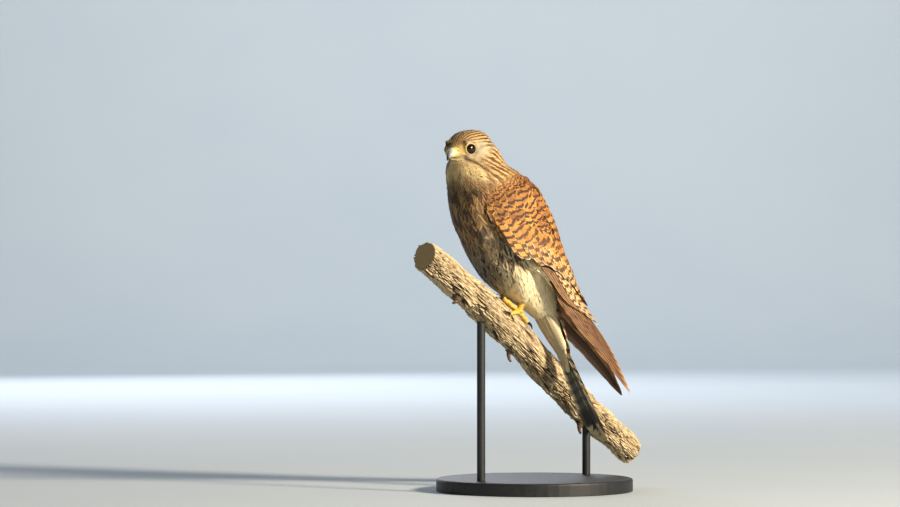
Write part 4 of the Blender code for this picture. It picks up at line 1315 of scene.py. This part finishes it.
def tail_coverts(coat, spots, draw):
    """Short feathers over the roots of the long ones, above and below."""
    above = (TAIL_TAN, BAR_BROWN, CREAM, (0.7, 0.0, 0.0, 0.8), 4.0, 0.2)
    # the coverts below: cream, darkened by painted shade under the tail
    below = (CREAM * 0.72, BAR_BROWN, CREAM, (0.0, 0.3, 0.0, 0.4), 4.0, 0.2)
    for sign, longest, paint in ((1.0, 44.0, above), (-1.0, 60.0, below)):
        for index in range(TAIL_COVERTS):
            share = index / (TAIL_COVERTS - 1) * 2.0 - 1.0
            length = longest * (1.0 - 0.25 * share**2) + draw.uniform(-1.5, 1.5)

            def place(along, across):
                x = mix(COVERT_ROOT, length, along)
                depth, width = curve(TAIL_STUB, x)
                around = share * 0.95 * (1.0 - 0.35 * along) + across / np.maximum(width, 6.0)
                lift = 1.6 + (index % 2) * 0.6 - 3.4 * np.maximum(1.0 - 2.0 * along, 0.0)
                level = np.zeros_like(x)
                out = np.stack([level, np.sin(around) / width, sign * np.cos(around) / depth], -1)
                y = (width + lift) * np.sin(around)
                points = np.stack([x, y, sign * (depth + lift) * np.cos(around)], -1)
                return moved(TAIL, points), unit(swung(TAIL, out))

            vane(coat, place, COVERT_WIDTH, 0.6, paint, paint, next(spots), draw)


def make_tail(finish):
    draw = np.random.default_rng(SEED + 20)
    coat = Coat()
    spots = iter(tiles(2 * TAIL_PAIRS + 2 * TAIL_COVERTS))
    tail_feathers(coat, spots, draw)
    tail_coverts(coat, spots, draw)
    tail = coat.build("tail_feathers", finish, "tail_feather")
    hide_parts("tail")


# Bill, eyes and lids


CERE_YELLOW = colour("#dcc06a")
HORN_PALE = colour("#dcd5ba")
# painted shade: the lower half's horn, darker than the upper's
HORN_TAN_PAINTED_SHADE = colour("#877a5e")
HORN_BLUE = colour("#969588")
HORN_DARK = colour("#23201f")
PUPIL_BLACK = colour("#070504")
IRIS_BROWN = colour("#1e0f07")
RING_YELLOW = colour("#dbb44a")
RING_CREAM = colour("#f0d9a6")
RING_TAN = colour("#b98f4e")
BILL_STEP = 0.22
CERE_END = 13.6
GAPE_FRONT = 15.5
GAPE_BACK = 7.0
LID_RISE = 4.35
LID_OPENING = 4.9
LID_OUTER = 6.25
BRISTLES = 34
BRISTLE_RADIUS = 0.075


def bill_tones(points, upper):
    """Yellow cere, pale horn that darkens to the hook."""
    x, _, z = points.T
    blue = (HORN_BLUE, ease(14.5, 20.0, x))
    if not upper:
        # the lower half: tan horn, darkened by painted shade under the upper half
        tip, base = 0.7 * ease(16.5, 18.4, x), 0.6 * ease(12.0, 9.0, x)
        return layered(HORN_TAN_PAINTED_SHADE, blue, (HORN_DARK, tip), (CERE_YELLOW, base))
    end = CERE_END + 0.7 * np.cos(z * 0.9)
    cere = ease(end + 0.5, end - 0.5, x)
    tone = layered(HORN_PALE, blue, (HORN_DARK, ease(19.8, 22.2, x)), (CERE_YELLOW, cere))
    for side in (1, -1):
        off = np.linalg.norm(points - mirrored(NOSTRIL_AT, side), axis=1)
        tone = blend(tone, HORN_DARK, ease(1.25, 0.85, off))
    return tone


def make_bill(word, rows, finish):
    """A half of the bill, closed along the mouth's line."""
    upper = word == "upper"
    around = circle(72)
    rings = []
    for x in np.arange(rows[0][0], rows[-1][0] + 0.01, BILL_STEP):
        middle, depth, width = [float(v) for v in curve(rows, x)]
        z = middle + depth * np.cos(around)
        if upper and x < 19.0:
            # the cutting edge falls into a tooth behind the hook
            tooth = -0.7 * math.exp(-((x - 16.8) / 0.8) ** 2)
            z = np.maximum(z, MOUTH_Z + 0.15 + tooth)
        elif not upper:
            z = np.minimum(z, MOUTH_Z - 0.35)
        rings.append(np.stack([np.full(len(z), x), width * np.sin(around), z], -1))
    points, faces = rings_mesh(rings)
    if upper:
        cere = ease(CERE_END + 0.6, CERE_END - 0.6, points[:, 0])
        points[:, 1] *= 1.0 + 0.05 * cere
        for side in (1, -1):
            off = np.linalg.norm(points - mirrored(NOSTRIL_AT, side), axis=1)
            pit = 1.6 * ease(1.1, 0.5, off) - 0.25 * np.exp(-((off - 1.5) / 0.35) ** 2)
            points[:, 1] -= side * pit
    tone = bill_tones(points, upper)
    points = moved(HEAD, points)
    bill = solid_piece(f"bill_{word}_horn", points, faces, tone, finish, "bill_horn")
    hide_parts(f"bill_{word}")


def eye_frame(side):
    """The eye's middle, its axis and two directions across it, in the head's axes."""
    aim = math.radians(EYE_AIM)
    axis = np.array([math.cos(aim), side * math.sin(aim), 0.0])
    up = np.array([0.0, 0.0, 1.0])
    return mirrored(EYE_AT, side), axis, up, np.cross(axis, up)


def eye_form(side, reach, rise, sides):
    """Rings round the eye's axis, from their reach off it and their rise along it."""
    middle, axis, up, across = eye_frame(side)
    track = middle + axis * rise[:, None]
    return tube(track, reach[:, None], up[None], across[None], circle(sides))


def make_eye(side, word, finish):
    middle, axis, _, _ = eye_frame(side)
    turns = np.linspace(0.02, math.pi - 0.02, 48)
    reach, rise = EYE_RADIUS * np.sin(turns), EYE_RADIUS * np.cos(turns) - EYE_SINK
    points, faces = rings_mesh(eye_form(side, reach, rise, 64))
    rise, flat = off_axis(points, middle, axis)
    iris = between((2.5, 2.7), (4.2, 4.5), np.linalg.norm(flat, axis=1)) * (rise > 0)
    tone = blend(PUPIL_BLACK, IRIS_BROWN, iris)
    eye = solid_piece(f"eye_{word}_ball", moved(HEAD, points), faces, tone, finish, "eye")
    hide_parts(f"eye_{word}")


def make_gape(side, word, surface, finish):
    """The yellow edge of the mouth, darkened by painted shade, from under the cere to its corner on
    the cheek.
    """
    clear = 30.0  # a start well outside the head
    inward = swung(HEAD, (0.0, -side, 0.0))
    track = []
    for x in np.linspace(GAPE_FRONT, GAPE_BACK, 40):
        middle, depth, width = [float(v) for v in curve(BILL_UPPER, x)]
        start = moved(HEAD, (x, side * clear, MOUTH_Z + 0.12 * (GAPE_FRONT - x)))
        reach = width * math.sqrt(1.0 - min(((MOUTH_Z - middle) / depth) ** 2, 1.0))
        hit = surface.tree.ray_cast(Vector(start), Vector(inward), clear)[0]
        if hit:
            reach = max(reach, clear - (hit - Vector(start)).length)
        track.append(start + inward * (clear - reach))
    share = np.clip(np.linspace(0.0, 1.0, len(track)), 0.02, 0.98)
    thick = 0.75 * np.sqrt(np.sin(math.pi * share))[:, None]
    up = np.array([[0.0, 0.0, 1.0]])
    rings = tube(np.array(track), thick, -0.6 * inward[None], up, circle(16))
    # the gape's yellow at 0.42: painted shade in the mouth's line
    solid_piece(f"gape_{word}", *rings_mesh(rings), CERE_YELLOW * 0.42, finish, "leg_skin")


def make_lids(side, word, finish):
    """The bare ring round the eye, in fine folds."""
    middle, axis, up, across = eye_frame(side)
    share = np.linspace(0.0, 1.0, 26)
    turn = math.pi * share
    reach = mix(LID_OPENING, LID_OUTER, (1.0 - np.cos(turn)) / 2)
    reach = np.append(reach, [LID_OUTER - 0.2, LID_OPENING + 0.3])
    rise = 0.3 + 0.6 * np.sin(turn) - 1.5 * share
    rise = LID_RISE + np.append(rise, [-2.6, -2.2])
    size = 120
    points, faces = rings_mesh(eye_form(side, reach, rise, size), closed=False)
    last = len(points) - size
    j = np.arange(size)
    k = (j + 1) % size
    close = [np.stack(corners, -1) for corners in ((last + j, last + k, k), (last + j, k, j))]
    faces = np.concatenate([faces, *close])
    _, flat = off_axis(points, middle, axis)
    reach = np.linalg.norm(flat, axis=1)
    turn = np.arctan2(flat @ across, flat @ up)
    fold = 0.07 * np.sin(turn * 46.0 + 1.5 * np.sin(turn * 7.0)) + 0.08 * np.cos(reach * 9.0)
    points = points + axis * (fold * ease(LID_OPENING, LID_OPENING + 0.5, reach))[:, None]
    # the upper lid comes down over the ball
    hood = ease(0.2, 1.0, np.cos(turn)) * ease(LID_OUTER, LID_OPENING, reach)
    points -= up * (0.45 * hood)[:, None]
    ahead = flat[:, 0] / np.maximum(reach, 0.1)
    outer = ease(LID_OUTER - 0.8, LID_OUTER - 0.4, reach) * ease(0.9, 0.4, ahead)
    inner = ease(LID_OPENING + 0.35, LID_OPENING + 0.05, reach)
    tone = layered(
        RING_TAN, (RING_YELLOW, ease(0.2, 0.7, ahead)), (RING_CREAM, outer),
        (HORN_DARK, inner * 0.8),
    )
    tone = tone * (1.0 + 0.25 * fold[:, None])
    solid_piece(f"eye_{word}_ring", moved(HEAD, points), faces, tone, finish, "leg_skin")


def make_bristles(surface, finish):
    """Stiff dark bristles round the bill's base, drawn thicker than life so that they show."""
    draw = np.random.default_rng(SEED + 30)
    share = np.linspace(0.0, 1.0, 6)[:, None]
    parts = []
    for side in (1, -1):
        for _ in range(BRISTLES):
            at = (draw.uniform(5.0, 11.0), side * draw.uniform(5.0, 8.5), draw.uniform(-12.5, -1.0))
            roots, ups, _ = surface.nearest(moved(HEAD, [at]))
            root, up = roots[0], ups[0]
            aim = unit(np.array([0.75, side * draw.uniform(0.3, 0.8), draw.uniform(-0.9, -0.25)]))
            aim = unit(swung(HEAD, aim) + 0.35 * up)
            length = draw.uniform(1.8, 4.2)
            droop = np.array([0.0, 0.0, -0.3]) * share**2
            track = root - 0.4 * up + aim * share * length + droop
            first = unit(np.cross(aim, up))[None]
            radii = BRISTLE_RADIUS * (1.0 - 0.85 * share)
            parts.append(rings_mesh(tube(track, radii, first, np.cross(first, aim), circle(4))))
    solid_piece("bill_bristles", *joined(parts), MOUSTACHE, finish, "pale_plumage")


# Feet


LEG_YELLOW = colour("#dcb548")
LEG_SHADE = colour("#a9761d")
CLAW_BLACK = colour("#161311")
# Reach along the branch, turn round it, radius
TOES = {
    "inner": (16.0, -23.0, 2.0),
    "middle": (25.0, -2.0, 2.3),
    "outer": (17.0, 48.0, 2.0),
    "hind": (-13.0, 12.0, 2.3),
}
# The plates' length on shank and toes
SHANK_PLATE = 2.3
TOE_PLATE = 1.5
SCALE_DENSITY = 1.15  # small scales to a millimetre
FOOT_X = {1: -29.0, -1: -34.0}
FOOT_ANGLES = {1: 30.0, -1: -32.0}
BALL_LIFT = 3.4
CLAW_REACH = 8.6
CLAW_RISE = 2.4
CLAW_BASE_LIFT = 0.5
CLAW_TIP_LIFT = 0.6
CLAW_START = 0.8
CLAW_RADIUS = 1.55
CLAW_TURN = 0.3
CLAW_SQUEEZE = 0.82  # its width as a share of its depth


def perch_frame(x):
    """At x or an array of it: the branch's middle, radius, direction down it, top and side."""
    x = np.asarray(x, float)
    slope = math.tan(math.radians(PERCH_TURN))

    def middle_at(x):
        z, radius = curve(PERCH, x)
        return np.stack([x, BIRD_AT.y + (x - BIRD_AT.x) * slope, z], -1), radius

    middle, radius = middle_at(x)
    along = unit(middle_at(x + 2.0)[0] - middle_at(x - 2.0)[0])
    top = across_to(np.array([0.0, 0.0, 1.0]), along)
    return middle, radius, along, top, np.cross(along, top)


def perch_point(x, angle, lift):
    middle, radius, _, top, side = perch_frame(x)
    turn = np.radians(angle)[..., None]
    out = top * np.cos(turn) + side * np.sin(turn)
    return middle + (radius + lift)[..., None] * out


def perch_distance(x, angle, at_x, at_angle):
    """Steps along and round the branch from a place on its bark, in millimetres."""
    turn = np.radians((angle - at_angle + 180.0) % 360.0 - 180.0)
    return x - at_x, turn * PERCH_RADIUS


def knot_height(x, angle):
    height = np.zeros(np.broadcast(x, angle).shape)
    for knot_x, knot_angle, rise, spread in KNOTS:
        along, around = perch_distance(x, angle, knot_x, knot_angle)
        height = height + rise * np.exp(-(along**2 * 2.5 + around**2) / spread**2)
    return height


def scaled_skin(track, radii, out, plate):
    """Rings along a track with plates across its outer side and small scales under it."""
    steps = np.linalg.norm(np.diff(track, axis=0), axis=1)
    length = np.concatenate([[0.0], np.cumsum(steps)])[:, None]
    around = circle(30)
    upper = ease(-0.2, 0.35, np.cos(around))
    saw = (length / plate + 0.12 * np.cos(around * 2.0)) % 1.0
    rise = 0.2 * (1.0 - saw) - 0.3 * ease(0.84, 0.95, saw)
    bare = tube(track, radii[:, None], *ways_across(track, out), around)
    cells = [noise.voronoi(Vector(p) * SCALE_DENSITY)[0][:2] for p in bare.reshape(-1, 3)]
    near, far = np.array(cells).T
    seam = ease(0.03, 0.3, far - near).reshape(bare.shape[:2])
    lift = upper * rise + (1.0 - upper) * (0.22 * seam - 0.1)
    shade = upper * ease(0.92, 0.8, saw) + (1.0 - upper) * seam
    points, faces = rings_mesh(bare + unit(bare - track[:, None]) * lift[..., None])
    shade = np.append(shade, [1.0, 1.0])
    return points, faces, blend(LEG_SHADE, LEG_YELLOW, 0.15 + 0.85 * shade)


def make_foot(side, word, finish):
    """A bare shank and four toes with their plates and pads."""
    foot_x, foot_angle = FOOT_X[side], FOOT_ANGLES[side]
    ball = perch_point(foot_x, foot_angle, BALL_LIFT)
    heel = moved(BIRD, mirrored(HEEL, side))
    front = swung(BIRD, (1.0, 0.0, 0.0))
    share = np.linspace(-0.06, 0.6, 90)
    shank = ball + (heel - ball) * share[:, None]
    thick = 2.9 + 1.3 * np.exp(-(share / 0.08) ** 2) + 0.4 * ease(0.4, 0.6, share)
    thick *= np.sqrt(ease(-0.12, 0.06, share))
    forms = [scaled_skin(shank, thick, np.tile(front, (len(share), 1)), SHANK_PLATE)]
    share = np.linspace(-0.05, 1.0, 96)
    slant = perch_frame(foot_x)[2][0]
    for reach, turn, radius in TOES.values():
        x = foot_x - reach * share * slant
        angle = foot_angle + side * turn * share
        pads = 1.0 - 0.17 * share + 0.1 * np.cos(share * math.tau * 3.0)
        size = radius * pads * 1.1 * np.sqrt(1.0 - ease(0.9, 1.03, share) ** 2)
        track = perch_point(x, angle, radius * pads + 0.5)
        out = perch_point(x, angle, radius * pads + 1.5) - track
        forms.append(scaled_skin(track, size, out, TOE_PLATE))
    points, faces = joined([form[:2] for form in forms])
    tone = np.vstack([form[2] for form in forms])
    foot = solid_piece(f"foot_{word}_scutes", points, faces, tone, finish, "leg_skin")
    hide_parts(f"foot_{word}")


def make_claw(side, word, toe, finish):
    """A claw from the end of its toe down to the bark, deeper than wide, grooved below."""
    reach, turn, toe_radius = TOES[toe]
    share = np.linspace(0.0, 1.0, 34)
    past = 1.0 + (CLAW_START + CLAW_REACH * share) / abs(reach)
    x = FOOT_X[side] - reach * past * perch_frame(FOOT_X[side])[2][0]
    angle = FOOT_ANGLES[side] + side * turn * (1.0 + CLAW_TURN * (past - 1.0))
    size = toe_radius * 0.82
    lift = (1 - share) ** 2 * (size + CLAW_BASE_LIFT) + share**2 * CLAW_TIP_LIFT
    lift += 2 * share * (1 - share) * (size + CLAW_RISE)
    track = perch_point(x, angle, lift)
    radii = CLAW_RADIUS * (1.0 - share) ** 0.7 + 0.12
    ups, sides = ways_across(track, perch_point(x, angle, lift + 1.0) - track)
    around = circle(24)
    groove = 1.0 - 0.18 * np.exp(-((around - math.pi) / 0.4) ** 2)
    rings = tube(track, radii[:, None] * groove, ups, CLAW_SQUEEZE * sides, around)
    name = f"claw_{word}_{toe}_horn"
    claw = solid_piece(name, *rings_mesh(rings), CLAW_BLACK, finish, "claw_horn")
    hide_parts(f"claw_{word}_{toe}")


# Bark


BARK_RIDGE = colour("#dcc79c")
BARK_MID = colour("#9c8260")
BARK_DEEP = colour("#3a281a")
WOOD_CUT = colour("#c9a97a")
WOOD_RING = colour("#a07c4e")


def furrows(x, angle):
    """The bark's slow swelling, its cracks, from 0 on a ridge to 1, and its fine roughness."""
    swell, crack, fine = np.zeros((3, x.size))
    turn = np.radians(angle)
    for i, (at, a, b) in enumerate(zip(x.ravel(), np.cos(turn).ravel(), np.sin(turn).ravel())):
        swell[i] = noise.noise(Vector((at * 0.055, a * 1.3, b * 1.3)))
        # plates about 38 mm long and 2.3 mm wide, and splits about 17 mm by 1.3 mm
        skew = noise.noise(Vector((at * 0.06, a * 2.5, b * 2.5))) * 1.6
        plates = Vector((at * 0.026 + skew, a * 6.5 + skew, b * 6.5 - skew))
        splits = Vector((at * 0.06 - skew, a * 12.0 - skew, b * 12.0))
        near, far = noise.voronoi(plates)[0][:2]
        narrow, wide = noise.voronoi(splits)[0][:2]
        fine[i] = noise.fractal(Vector((at * 0.3, a * 15.0, b * 15.0)), 1.0, 2.0, 3)
        seen = 0.9 + noise.noise(Vector((at * 0.09, a * 3.0, b * 3.0)))
        deep = (1.0 - (far - near) * 3.4) * seen
        crack[i] = max(deep, (0.9 - (wide - narrow) * 3.6) * (1.6 - seen), 0.0)
    return [part.reshape(x.shape) for part in (swell, crack, fine)]


def make_branch(finish):
    """The perch with cracked bark, sawn at both ends."""
    x = np.linspace(PERCH[0][0], PERCH[-1][0], 380)[:, None]
    angle = np.linspace(0.0, 360.0, 220, endpoint=False)[None]
    x, angle = [np.array(a) for a in np.broadcast_arrays(x, angle)]
    swell, crack, fine = furrows(x, angle)
    # the bark lies flatter under the feet
    foot = 0.0
    for side in (1, -1):
        off = np.hypot(*perch_distance(x, angle, FOOT_X[side], FOOT_ANGLES[side]))
        foot = np.maximum(foot, ease(36.0, 26.0, off))
    relief = 2.4 * swell - 0.7 - 2.0 * crack + 0.8 * fine
    lift = knot_height(x, angle) + 0.2 + relief * (1.0 - 0.75 * foot)
    rings = perch_point(x, angle, lift)
    dusk = (0.4 - 1.2 * fine - 0.4 * swell).ravel()
    tone = layered(BARK_RIDGE, (BARK_MID, dusk), (BARK_DEEP, ease(0.3, 0.9, crack.ravel())))
    # the sawn ends, with their growth rings
    shares = np.linspace(0.95, 0.03, 28)
    wood = blend(WOOD_CUT, WOOD_RING, np.arange(len(shares)) % 2 * 0.7)
    ends = []
    for ring in (rings[0], rings[-1]):
        middle = ring.mean(0)
        ends.append(middle + (ring - middle) * shares[:, None, None])
    points, faces = rings_mesh(np.concatenate([ends[0][::-1], rings, ends[1]]))
    first, last = [np.repeat(part, x.shape[1], 0) for part in (wood[::-1], wood)]
    tone = np.vstack([first, tone, last, WOOD_CUT, WOOD_CUT])
    bark = solid_piece("perch_bark", points, faces, tone, finish, "bark")
    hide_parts("perch_branch")


# Twigs broken off under the perch: x, angle, length, radius, hook
TWIGS = (
    (-72.0, 168.0, 9.0, 2.4, -0.9),
    (-17.0, 185.0, 11.0, 2.2, 1.6),
    (52.0, 182.0, 11.0, 2.5, 1.3),
    (57.0, 160.0, 7.0, 2.0, 0.4),
)


def make_twigs(finish):
    """Short hooked stubs of side twigs, dark and split at their ends."""
    share = np.linspace(0.0, 1.0, 22)
    around = circle(18)
    parts = []
    for index, (x, angle, length, radius, hook) in enumerate(TWIGS):
        base = perch_point(x, angle, -1.0)
        out = unit(perch_point(x, angle, 5.0) - base)
        along = perch_frame(x)[2]
        bend = hook * share[:, None]
        step = length / len(share) * (out * np.cos(bend) + along * np.sin(bend))
        track = base + np.cumsum(step, 0)
        heads = unit(np.gradient(track, axis=0))
        side = unit(np.cross(out, along))
        thick = radius * (1.0 + 1.2 * np.exp(-share * 7.0)) * (1.0 - 0.55 * share)
        spots = [Vector((index * 9.0, t * 7.0, a * 1.6)) for t in share for a in around]
        rough = np.array([noise.noise(spot) for spot in spots]).reshape(len(share), -1)
        radii = thick[:, None] * (1.0 + 0.16 * rough)
        parts.append(rings_mesh(tube(track, radii, np.cross(heads, side), side[None], around)))
    points, faces = joined(parts)
    tone = blend(BARK_DEEP, BARK_MID, 0.25 + 0.5 * patches(points, 1.5, 1.5))
    solid_piece("perch_twigs", points, faces, tone, finish, "bark")


# Build


def skin_pieces():
    # down: no shaft and no gloss, so gaps between feathers look soft and deep
    down = grained_material("down over skin", 0.9, 0.1, 0.2, roughness=0.9, sheen_weight=0.3)
    # short loose vanes on body and face, matt with fine barbs
    small = feather_material("contour feather", 0.5, 0.72)
    face = feather_material("facial feather", 0.4, 0.78)
    mesh = make_skin()
    skin = link("skin", mesh, down, "breast_plumage")
    unwrap(skin)
    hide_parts(*FLESH)
    surface = Surface(mesh)
    paint_skin(mesh, surface)
    draw = np.random.default_rng(SEED)
    roots, index, places = scatter(surface, draw)
    head = moved(HEAD.inverted(), roots)
    body = moved(BODY.inverted(), roots)
    # bare round the eyes and where the bill begins
    clear = eye_distance(head) > LID_OUTER
    clear &= head[:, 0] < 8.5 + 3.5 * ease(-9.5, -11.5, head[:, 2])
    crown = head_share(head) > 0.5
    neck = ~crown & (body[:, 0] > 108.0)
    rest = ~crown & ~neck
    under = rest & (belly_angle(body) > wing_line(body[:, 0]))
    high = body[:, 0] > 45.0
    # where, rows and columns, full width to, fray, lift, lined, finish, slot
    coats = {
        "head": (crown, (3, 2), 0.5, 0.1, (0.25, 0.75), True, face, "pale_plumage"),
        "neck": (neck, (5, 4), 0.4, 0.12, (0.5, 1.3), True, small, "back_plumage"),
        "breast": (under & high, (7, 6), 0.4, 0.16, (0.4, 1.3), False, small, "breast_plumage"),
        "belly": (under & ~high, (7, 6), 0.15, 0.28, (0.3, 1.2), False, small, "pale_plumage"),
        "back": (rest & ~under, (6, 4), 0.6, 0.08, (0.9, 2.0), False, small, "back_plumage"),
    }
    for name, (inside, net, full, fray, lifts, lined, finish, slot) in coats.items():
        pick = inside & clear
        chosen = roots[pick], index[pick], places[pick]
        coat = Coat()
        small_feathers(coat, surface, *chosen, net, draw, full, fray, lifts, lined)
        coat.build(f"{name}_feathers", finish, slot)
    return surface


def bird_pieces(surface):
    # stiff closed vanes: smoother than the body's, with a clear shaft
    flight = feather_material("flight feather", 0.6, 0.62)
    make_wing(1, "left", flight)
    make_wing(-1, "right", flight)
    make_tail(flight)
    # horn, grown and rubbed: a soft highlight down the ridge
    horn = grained_material("bill horn and cere", 1.4, 0.06, 0.1, roughness=0.46)
    make_bill("upper", BILL_UPPER, horn)
    make_bill("lower", BILL_LOWER, horn)
    # a wet cornea: one small sharp highlight on near black
    wet = grained_material("wet eye", 3.0, 0.0, 0.02, roughness=0.14, ior=1.45)
    # thin bare skin in folds: waxy, its highlight broken up
    bare = grained_material("bare ring skin", 0.5, 0.08, 0.1, roughness=0.5)
    # horny plates with dusty seams
    scaled = grained_material("scaled leg skin", 0.6, 0.08, 0.12, roughness=0.45)
    # solid horn, worn smooth: a glossy line down each claw
    claw = grained_material("claw horn", 1.0, 0.03, 0.15, roughness=0.25)
    make_bristles(surface, claw)
    for side, word in ((1, "left"), (-1, "right")):
        make_eye(side, word, wet)
        make_lids(side, word, bare)
        make_gape(side, word, surface, bare)
        make_foot(side, word, scaled)
        for toe in TOES:
            make_claw(side, word, toe, claw)


def perch_pieces():
    # dead bark, dried and weathered: matt pale ridges over dark cracks
    bark = grained_material("furrowed bark", 1.1, 0.35, 0.22, roughness=0.88)
    make_branch(bark)
    make_twigs(bark)


def steel_material():
    """Steel under a baked powder coat: satin black with a fine orange-peel skin."""
    made, node, shader = new_material("satin powder-coated steel")
    peel = node("TexNoise", {"Vector": node("NewGeometry"), "Scale": 1.4 / MM, "Detail": 2.0})
    cloud, tone = drifting_tone(node, 0.22, 3.0, (0.3, 0.7), ("#17181a", "#1f2022"))
    wire(shader, "Base Color", tone)
    wire(shader, "Roughness", node("MapRange", [cloud, 0.3, 0.7, 0.48, 0.54]))
    wire(shader, "Normal", node("Bump", {"Height": peel, "Strength": 0.3, "Distance": 0.05 * MM}))
    return made


def floor_material():
    """Uncoated paper: matt and even, with a faint drift so that it doesn't look drawn."""
    made, node, shader = new_material("pale matt paper", roughness=0.9)
    _, tone = drifting_tone(node, 0.003, 2.0, (0.2, 0.8), ("#c9d3da", "#ced7dc"))
    wire(shader, "Base Color", tone)
    return made


def make_stand():
    steel = steel_material()
    for name in ("stand_base", "stand_rod_1", "stand_rod_2"):
        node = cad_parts[name]
        node.data.materials.clear()
        node.data.materials.append(steel)


FLOOR_HALF = 9000.0
BACKDROP_AT = 5400.0
BACKDROP_BEND = 1500.0
BACKDROP_TOP = 7000.0
FLOOR_DROP = 0.5


def make_floor():
    """A pale floor that curves up into a backdrop behind the model."""
    turns = np.radians(np.linspace(0.0, 90.0, 25))
    y = BACKDROP_AT - BACKDROP_BEND * (1.0 - np.sin(turns))
    z = BACKDROP_BEND * (1.0 - np.cos(turns))
    track = [(-FLOOR_HALF, 0.0), *zip(y, z), (BACKDROP_AT, BACKDROP_TOP)]
    points = [(x, y, z - FLOOR_DROP) for y, z in track for x in (-FLOOR_HALF, FLOOR_HALF)]
    faces = [(2 * i, 2 * i + 1, 2 * i + 3, 2 * i + 2) for i in range(len(track) - 1)]
    floor = link("floor", mesh_from("floor", points, faces), floor_material(), None)


MODEL_MIDDLE = (0.0, 0.0, 230.0)
# Where each light is and aims, its size in metres, its power and tint
LIGHTS = {
    "key": ((2550.0, -1900.0, 1350.0), MODEL_MIDDLE, 0.5, 225.0, "#fff0d8"),
    "fill": ((-2400.0, -2200.0, 1500.0), MODEL_MIDDLE, 2.2, 4.0, "#cfe2ff"),
    "far side": ((-900.0, 2900.0, 1400.0), MODEL_MIDDLE, 2.0, 34.0, "#f4f6ff"),
    "backdrop": ((0.0, 3000.0, 3000.0), (0.0, 5200.0, 900.0), 3.0, 75.0, "#f0f6ff"),
}
SKY_STRENGTH = 0.12


def make_lights():
    for name, (at, aim, size, power, tint) in LIGHTS.items():
        light = bpy.data.lights.new(name, "AREA")
        light.size = size
        light.energy = power
        light.color = linear(tint)[:3]
        made = bpy.data.objects.new(name, light)
        made.location = Vector(at) * MM
        made.rotation_euler = (Vector(aim) - Vector(at)).to_track_quat("-Z", "Y").to_euler()
        bpy.context.scene.collection.objects.link(made)
    world = bpy.data.worlds.new("studio")
    world.use_nodes = True
    sky = world.node_tree.nodes["Background"].inputs
    sky["Color"].default_value = linear("#d3e2f2")
    sky["Strength"].default_value = SKY_STRENGTH
    bpy.context.scene.world = world


def make_camera():
    lens = bpy.data.cameras.new("photo view")
    lens.lens = LENS
    lens.sensor_width = SENSOR
    lens.clip_end = 50.0
    camera = bpy.data.objects.new("photo view", lens)
    away = PHOTO_SCALE * PHOTO_WIDTH * LENS / SENSOR
    camera.location = Vector((PHOTO_MIDDLE[0], BIRD_AT.y - away, PHOTO_MIDDLE[1])) * MM
    camera.rotation_euler = (math.radians(90.0), 0.0, 0.0)
    bpy.context.scene.collection.objects.link(camera)
    bpy.context.scene.camera = camera
    bpy.context.scene.view_settings.view_transform = "Standard"


bird_pieces(skin_pieces())
perch_pieces()
make_stand()
make_floor()
make_lights()
make_camera()
